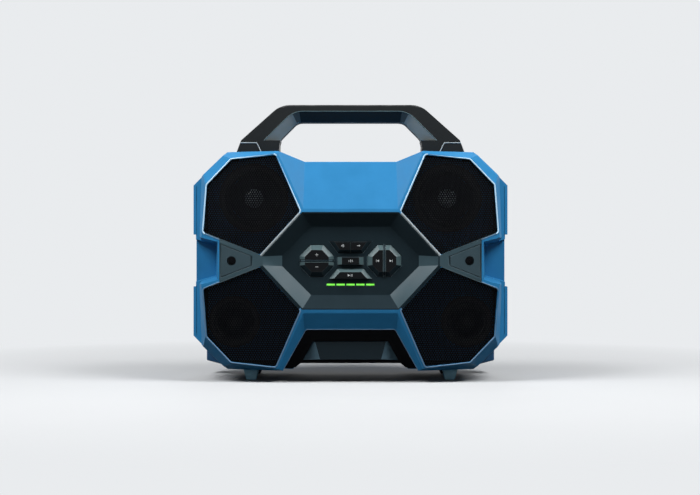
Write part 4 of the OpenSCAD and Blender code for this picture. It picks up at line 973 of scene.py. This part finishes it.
def grip_line():
    """Edge between the front of the handle and the bevel round its opening, from left to right."""
    hub_drop = 0.01
    form = merged_copy("handle_front_shell")
    spots = set()
    for edge in form.edges:
        front, bevel = sorted(edge.link_faces, key=lambda face: face.normal.y)
        if front.normal.y < -0.995 and -0.99 < bevel.normal.y < -0.2 and bevel.normal.z < -0.1:
            spots.update(rounded_off(v) for v in edge.verts)
    form.free()
    front = min(spot[1] for spot in spots)
    line = [spot for spot in spots if spot[1] < front + MM]
    return from_left(line, min(spot[2] for spot in line) - hub_drop)


def front_corners(node):
    """Corners of a solid on its foremost plane."""
    corners = [v.co.copy() for v in solids[node].data.vertices]
    front = min(c.y for c in corners)
    return [c for c in corners if c.y < front + HAIR]


def cap_line(node):
    """Top edge of a handle cap, from its outer end to its inner foot."""
    face = front_corners(node)
    outer = min(face, key=lambda c: (-round(c.z, 5), -abs(c.x)))
    inner = min(face, key=lambda c: (-round(c.z, 5), abs(c.x)))
    foot = min(face, key=lambda c: (round(c.z, 5), abs(c.x)))
    return [outer, inner, foot]


# Printed symbols, drawn in millimetres from the middle of a button


def bar(x, z, width, height):
    """Upright rectangle."""
    left, right, low, high = x - width / 2, x + width / 2, z - height / 2, z + height / 2
    return [(left, low), (right, low), (right, high), (left, high)]


def pointer(x, z, size, way):
    """Triangle that points left or right."""
    back, tip, half = x - way * size / 2, x + way * size / 2, size * 0.55
    return [(back, z - half), (tip, z), (back, z + half)]


def arc(x, z, radius, thick, start, end, steps=10):
    """Part of a ring, angles in degrees."""
    turns = [math.radians(start + (end - start) * i / steps) for i in range(steps + 1)]
    outer, inner = (
        [(x + math.cos(t) * reach, z + math.sin(t) * reach) for t in turns]
        for reach in (radius + thick / 2, radius - thick / 2)
    )
    return outer + inner[::-1]


SYMBOLS = {
    "volume_up_button": [bar(0, 0, 3.6, 0.45), bar(0, 1.0, 0.45, 1.55), bar(0, -1.0, 0.45, 1.55)],
    "volume_down_button": [bar(0, 0, 3.6, 0.5)],
    "previous_button": [bar(-1.6, 0, 0.4, 2.9), pointer(0.3, 0, 2.4, -1)],
    "next_button": [bar(1.6, 0, 0.4, 2.9), pointer(-0.3, 0, 2.4, 1)],
    "play_button": [pointer(-1.8, 0, 2.4, 1), bar(0.6, 0, 0.45, 2.7), bar(1.8, 0, 0.45, 2.7)],
    "pairing_button": [
        arc(-0.7, 0, 0.35, 0.7, 0, 360, 12),
        arc(-0.7, 0, 1.4, 0.45, -50, 50),
        arc(-0.7, 0, 2.3, 0.45, -50, 50),
    ],
    "source_button": [bar(-0.7, 0, 2.4, 0.55), pointer(1.2, 0, 1.7, 1)],
    "mode_button": [bar(-1.8, 0, 0.6, 1.6), bar(0, 0, 0.6, 3.0), bar(1.8, 0, 0.6, 2.2)],
}


def make_symbol(node):
    """Raised print on the front face of a button."""
    height = bpy.context.scene.speaker_sizes.print_height
    face = front_corners(node)
    spread = [c.x for c in face], [c.z for c in face]
    across, up = ((min(values) + max(values)) / 2 for values in spread)
    sunk = min(c.y for c in face) + PRINT_SINK
    form = bmesh.new()
    for shape in SYMBOLS[node]:
        lower = [form.verts.new((across + x * MM, sunk, up + z * MM)) for x, z in shape]
        upper = [form.verts.new(v.co - Vector((0, height, 0))) for v in lower]
        form.faces.new(lower[::-1])
        form.faces.new(upper)
        for i in range(len(lower)):
            j = (i + 1) % len(lower)
            form.faces.new((lower[i], lower[j], upper[j], upper[i]))
    bmesh.ops.recalc_face_normals(form, faces=form.faces)
    thing = formed(node + "_symbol", form)
    thing.data.materials.append(finish("symbol_print"))
    place(thing, solids[node]["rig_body"], "cover_plastic")


# Operators


class SPEAKER_OT_shell(bpy.types.Operator):
    """Rounds and paints the blue front moulding, the tub and the parts let into it"""

    bl_idname = "speaker.shell"
    bl_label = "Blue Shell"

    def execute(self, context):
        edge = context.scene.speaker_sizes.shell_edge
        for node in ("front_bezel", "battery_door"):
            dress(node, "blue_shell", edge, "body_blue")
        rim = solids["rear_housing"].bound_box[0][1] + edge
        tub = dress("rear_housing", "blue_shell", edge, "body_blue")
        # The tub's front flange, seen in the chin opening, takes the chin's black as painted shade
        repaint(tub, "chin_black", lambda face: face.normal.y < -SQUARE and face.center.y < rim)
        smooth("speaker_baffle", "blue_inner", "body_blue")
        for node in ("housing_seal", "door_seal"):
            smooth(node, "soft_black", "black_rubber")
        return {"FINISHED"}


class SPEAKER_OT_grilles(bpy.types.Operator):
    """Punches the four grille sheets and runs the beads round their windows, most painted as highlight lines
    and the lower dish beads as shade
    """

    bl_idname = "speaker.grilles"
    bl_label = "Grilles"

    def execute(self, context):
        radius = context.scene.speaker_sizes.bead
        # How far each bead's middle lies in from the sheet's outline and in front of the sheet
        shell_seat, dish_seat, wing_seat = (0.00025, 0.0017), (-0.00025, 0.0015), (0.0009, 0.0017)
        # Shares of the window beads' radius
        notch_share, dish_share, wing_share, chin_share = 0.8, 1.75, 0.6, 0.55
        # Upper beads take bright painted highlights, lower shell beads dimmer ones, lower dish beads the
        # painted shade
        bead_lighting = {"upper": ("bead_blue", "bead_grey"), "lower": ("bead_dim", "dish_grey")}
        for level in LEVELS:
            shell_highlight, dish_light_and_shade = bead_lighting[level]
            for side in SIDES:
                node = f"grille_{level}_{side}"
                make_grille(node)
                outer = window_lines(node, *shell_seat)
                run_bead(node + "_bead", outer["shell"], radius, shell_highlight, "body_blue")
                notch = notch_line(outer["wing"])
                # The notch bead is a dim painted highlight line
                run_bead(node + "_notch_bead", notch, radius * notch_share, "bead_dim", "body_blue")
                dish = window_lines(node, *dish_seat)["dish"]
                run_bead(node + "_dish_bead", dish, radius * dish_share, dish_light_and_shade, "dark_plastic")
                wing = window_lines(node, *wing_seat)["wing"]
                run_bead(node + "_wing_bead", wing, radius * wing_share, "fascia_grey", "dark_plastic")
        # A thin painted highlight line round the chin opening
        run_bead("chin_bead", chin_line(), radius * chin_share, "bead_dim", "body_blue")
        return {"FINISHED"}


class SPEAKER_OT_drivers(bpy.types.Operator):
    """Finishes the cones, their rolls and their frames behind the grilles"""

    bl_idname = "speaker.drivers"
    bl_label = "Drivers"

    def execute(self, context):
        # Upper dust caps are shiny grey, painted pale as well to stand in for their glint
        caps = {"upper": "cap_grey", "lower": "roll_rubber"}
        for level in LEVELS:
            for side in SIDES:
                node = f"{level}_cone_{side}"
                cone = smooth(node, "pressed_paper", "cone_black")
                low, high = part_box(node)
                middle, reach = (low + high) / 2, (high.x - low.x) * CAP_SHARE
                repaint(cone, caps[level], lambda face: (face.center - middle).xz.length < reach)
                smooth(f"{level}_driver_frame_{side}", "tray_black", "black_plastic")
        smooth("cone_surrounds", "roll_rubber", "black_rubber")
        smooth("driver_magnets", "dark_steel", "steel")
        return {"FINISHED"}


class SPEAKER_OT_fascia(bpy.types.Operator):
    """Rounds the control dish, its wing covers and the light bars, and finishes what lies behind them"""

    bl_idname = "speaker.fascia"
    bl_label = "Control Fascia"

    def execute(self, context):
        sizes = context.scene.speaker_sizes
        edge = sizes.fascia_edge
        # The dish floor and the facets above and below it take a darker grey as painted shade
        repaint(dress("control_fascia", "fascia_grey", edge, "dark_plastic"), "dish_grey", dish_shade)
        for side in SIDES:
            dress("wing_cover_" + side, "cover_grey", edge, "cover_plastic")
        light_strip(dress("level_lights", "lit_green", edge, "light_green"), sizes.light_half, "lit_rim")
        smooth("wing_screws", "screw_black", "steel")
        smooth("control_board", "board_green", "board")
        smooth("button_switches", "screw_steel", "steel")
        return {"FINISHED"}


class SPEAKER_OT_buttons(bpy.types.Operator):
    """Rounds the buttons, paints highlight and shade on their bevels and prints their symbols"""

    bl_idname = "speaker.buttons"
    bl_label = "Buttons"

    def execute(self, context):
        edge = context.scene.speaker_sizes.key_edge
        slant = 0.3
        for node in sorted(SYMBOLS):
            # Bevels take a lighter grey as painted highlight; the source and pairing buttons' bevels take
            # the darker painted shade
            rim = "dish_grey" if node in ("source_button", "pairing_button") else "key_rim"
            dark_top = node == "mode_button"
            key = dress(node, rim, edge, "button_plastic")
            repaint(key, "key_black", lambda face: face.normal.y < -SQUARE)
            # Bevels that face down, and the mode button's upward ones, take the darker grey as painted shade
            repaint(
                key, "dish_grey", lambda face: face.normal.z < -slant or (dark_top and face.normal.z > slant)
            )
            make_symbol(node)
        return {"FINISHED"}


class SPEAKER_OT_handle(bpy.types.Operator):
    """Rounds the carry handle and the caps at its feet, and runs painted highlight lines along them"""

    bl_idname = "speaker.handle"
    bl_label = "Handle"

    def execute(self, context):
        sizes = context.scene.speaker_sizes
        edge = sizes.handle_edge
        crease, slight_turn = 28, 0.12
        for node in ("handle_front_shell", "handle_rear_shell"):
            shell = dress(node, "handle_black", edge, "black_plastic", crease)
            # Bevel faces turned only a little inwards take a darker grey as painted shade
            repaint(shell, "grip_dim", lambda face: leg_bevel(face, slight_turn))
            repaint(shell, "grip_grey", leg_bevel)
        # A painted highlight line along the edge of the handle's opening
        run_bead("handle_grip_edge", grip_line(), sizes.grip_bead, "key_rim", "black_plastic")
        for side in SIDES:
            node = "handle_socket_" + side
            dress(node, "handle_black", edge / 2, "black_plastic")
            # A painted highlight line along the top edge of each cap
            run_bead("handle_cap_edge_" + side, cap_line(node), sizes.cap_bead, "bead_grey", "black_plastic")
        smooth("handle_screws", "dark_steel", "steel")
        return {"FINISHED"}


class SPEAKER_OT_chin(bpy.types.Operator):
    """Rounds the undercut and paints the block in it, with painted light on the block's sides"""

    bl_idname = "speaker.chin"
    bl_label = "Chin"

    def execute(self, context):
        dress("chin_surround", "chin_black", context.scene.speaker_sizes.fascia_edge, "black_plastic")
        crease, cheek = 5, 0.3
        block = smooth("chin_block", "block_grey", "dark_plastic", crease)
        # Sides that face left or right take a far lighter grey as painted light
        repaint(block, "block_cheek", lambda face: abs(face.normal.x) > cheek)
        return {"FINISHED"}


class SPEAKER_OT_feet(bpy.types.Operator):
    """Rounds the feet and the lower rear guards"""

    bl_idname = "speaker.feet"
    bl_label = "Feet and Guards"

    def execute(self, context):
        edge = context.scene.speaker_sizes.rubber_edge
        for side in SIDES:
            # The front feet take a pale colour painted as light
            dress("front_foot_" + side, "foot_slate", edge, "foot_rubber")
            dress("rear_foot_" + side, "foot_dark", edge, "foot_rubber")
            dress("corner_guard_" + side, "guard_navy", edge, "guard_rubber")
        return {"FINISHED"}


class SPEAKER_OT_rear(bpy.types.Operator):
    """Finishes the latch, the socket flap, the battery bay and the amplifier board"""

    bl_idname = "speaker.rear"
    bl_label = "Battery Bay and Sockets"

    def execute(self, context):
        edge = context.scene.speaker_sizes.shell_edge
        dress("door_latch", "handle_black", edge, "black_plastic")
        dress("port_flap", "soft_black", edge, "black_rubber")
        dress("battery_pack", "pack_grey", edge, "dark_plastic")
        dress("battery_tray", "tray_black", edge, "black_plastic")
        smooth("flap_anchor", "soft_black", "black_rubber")
        smooth("socket_panel", "tray_black", "dark_plastic")
        smooth("amplifier_board", "board_green", "board")
        smooth("battery_terminals", "brass", "terminal_brass")
        for node in ("door_hinge_pin", "latch_pin", "housing_screws"):
            smooth(node, "screw_steel", "steel")
        return {"FINISHED"}


class SPEAKER_OT_stage(bpy.types.Operator):
    """Sets up the camera, the floor and the lamps"""

    bl_idname = "speaker.stage"
    bl_label = "Stage"

    def execute(self, context):
        scene = context.scene
        stage = scene.speaker_stage
        view = bpy.data.cameras.new("Camera")
        view.lens = stage.lens
        view.clip_end = 50
        camera = new_object("Camera", view)
        camera.location = (stage.aside, cad_box[0].y - stage.distance, stage.eye_height)
        camera.rotation_euler = (math.pi / 2, 0, 0)
        scene.camera = camera
        self.sweep(scene)
        self.lamps(scene, stage)
        scene.view_settings.view_transform = "Standard"
        return {"FINISHED"}

    def sweep(self, scene):
        """Floor that curves up into a backdrop."""
        near, deep, high, half_width = -6.0, 2.2, 3.0, 7.0
        radius, steps = 1.2, 16
        path = [(near, 0.0), (deep, 0.0)]
        for i in range(1, steps + 1):
            turn = math.pi / 2 * i / steps
            path.append((deep + radius * math.sin(turn), radius - radius * math.cos(turn)))
        path.append((deep + radius, high))
        count = len(path)
        points = [(x, y, z) for x in (-half_width, half_width) for y, z in path]
        faces = [(i, i + count, i + count + 1, i + 1) for i in range(count - 1)]
        mesh = bpy.data.meshes.new("floor")
        mesh.from_pydata(points, [], faces)
        for polygon in mesh.polygons:
            polygon.use_smooth = True
        mesh.materials.append(self.paper(scene.speaker_colours.floor, scene.speaker_stage))
        new_object("floor", mesh)

    def paper(self, tone, stage):
        """Paper that takes the shadow near the speaker and is plain and pale further off."""
        bounce, brightness = 0.06, 1.55
        material, nodes, shader, where = new_material("paper_sweep")
        light = nodes.add("ShaderNodeLightPath").outputs
        seen = nodes.math("MAXIMUM", light["Is Camera Ray"], light["Is Transmission Ray"])
        seen = nodes.math("MAXIMUM", seen, light["Is Glossy Ray"])
        cloud = nodes.ramp(nodes.noise(where, 3.0, 3.0), 0.3, 0.7)
        pale = nodes.mix(cloud, scaled(tone, 0.98), scaled(tone, 1.02))
        shown = nodes.mix(seen, scaled(tone, bounce), pale)
        nodes.fill(shader, {"Base Color": shown, "Roughness": 0.9, "Specular IOR Level": 0.1})
        reach = nodes.add("ShaderNodeVectorMath", {0: where}, operation="LENGTH").outputs["Value"]
        far = nodes.math("MULTIPLY", nodes.ramp(reach, stage.pale_from, stage.pale_to), seen)
        plain = nodes.add("ShaderNodeEmission", {"Color": opaque(scaled(tone, brightness))}).outputs[0]
        both = nodes.add("ShaderNodeMixShader", {0: far, 1: shader.outputs[0], 2: plain}).outputs[0]
        nodes.fill(nodes.tree.nodes["Material Output"], {"Surface": both})
        return material

    def lamps(self, scene, stage):
        """Two large soft lamps high at both sides, a weak low one and one behind, in a dim room."""
        aim_height, cool_white = 0.15, (0.92, 0.96, 1.0, 1)
        aim = Vector((0, cad_box[0].y, aim_height))
        # Name, place from the aim, width in metres and power
        plan = (
            ("left", (-0.78, -0.46, 1.0), 0.7, stage.key_power),
            ("right", (0.78, -0.46, 1.0), 0.7, stage.key_power),
            ("front", (0, -2.1, 0.2), 0.7, stage.fill_power),
            ("back", (0, 2.4, 0.7), 1.1, stage.back_power),
        )
        for name, offset, width, watts in plan:
            data = bpy.data.lights.new(name, "AREA")
            data.shape = "RECTANGLE"
            data.size = width
            data.size_y = width
            data.energy = watts
            lamp = new_object(name, data)
            lamp.location = aim + Vector(offset)
            lamp.rotation_euler = (aim - lamp.location).to_track_quat("-Z", "Y").to_euler()
        world = bpy.data.worlds.new("room")
        world.use_nodes = True
        sky = world.node_tree.nodes["Background"]
        sky.inputs["Color"].default_value = cool_white
        sky.inputs["Strength"].default_value = stage.ambient
        scene.world = world


class SPEAKER_PT_panel(bpy.types.Panel):
    """Lists the speaker's pieces and values"""

    bl_idname = "SPEAKER_PT_panel"
    bl_label = "Job Site Speaker"
    bl_space_type = "VIEW_3D"
    bl_region_type = "UI"
    bl_category = "Speaker"

    def draw(self, context):
        scene = context.scene
        for step in STEPS:
            self.layout.operator(step.bl_idname)
        for values in (scene.speaker_colours, scene.speaker_sizes, scene.speaker_stage):
            rows = self.layout.column()
            for name in values.__annotations__:
                rows.prop(values, name)


STEPS = (
    SPEAKER_OT_stage,
    SPEAKER_OT_shell,
    SPEAKER_OT_grilles,
    SPEAKER_OT_drivers,
    SPEAKER_OT_fascia,
    SPEAKER_OT_buttons,
    SPEAKER_OT_handle,
    SPEAKER_OT_chin,
    SPEAKER_OT_feet,
    SPEAKER_OT_rear,
)
CLASSES = (SpeakerColours, SpeakerSizes, SpeakerStage, *STEPS, SPEAKER_PT_panel)


def register():
    for kind in CLASSES:
        bpy.utils.register_class(kind)
    bpy.types.Scene.speaker_colours = PointerProperty(type=SpeakerColours)
    bpy.types.Scene.speaker_sizes = PointerProperty(type=SpeakerSizes)
    bpy.types.Scene.speaker_stage = PointerProperty(type=SpeakerStage)


def unregister():
    del bpy.types.Scene.speaker_stage
    del bpy.types.Scene.speaker_sizes
    del bpy.types.Scene.speaker_colours
    for kind in reversed(CLASSES):
        bpy.utils.unregister_class(kind)


def main():
    register()
    for step in STEPS:
        family, name = step.bl_idname.split(".")
        getattr(getattr(bpy.ops, family), name)()


if __name__ == "__main__":
    main()
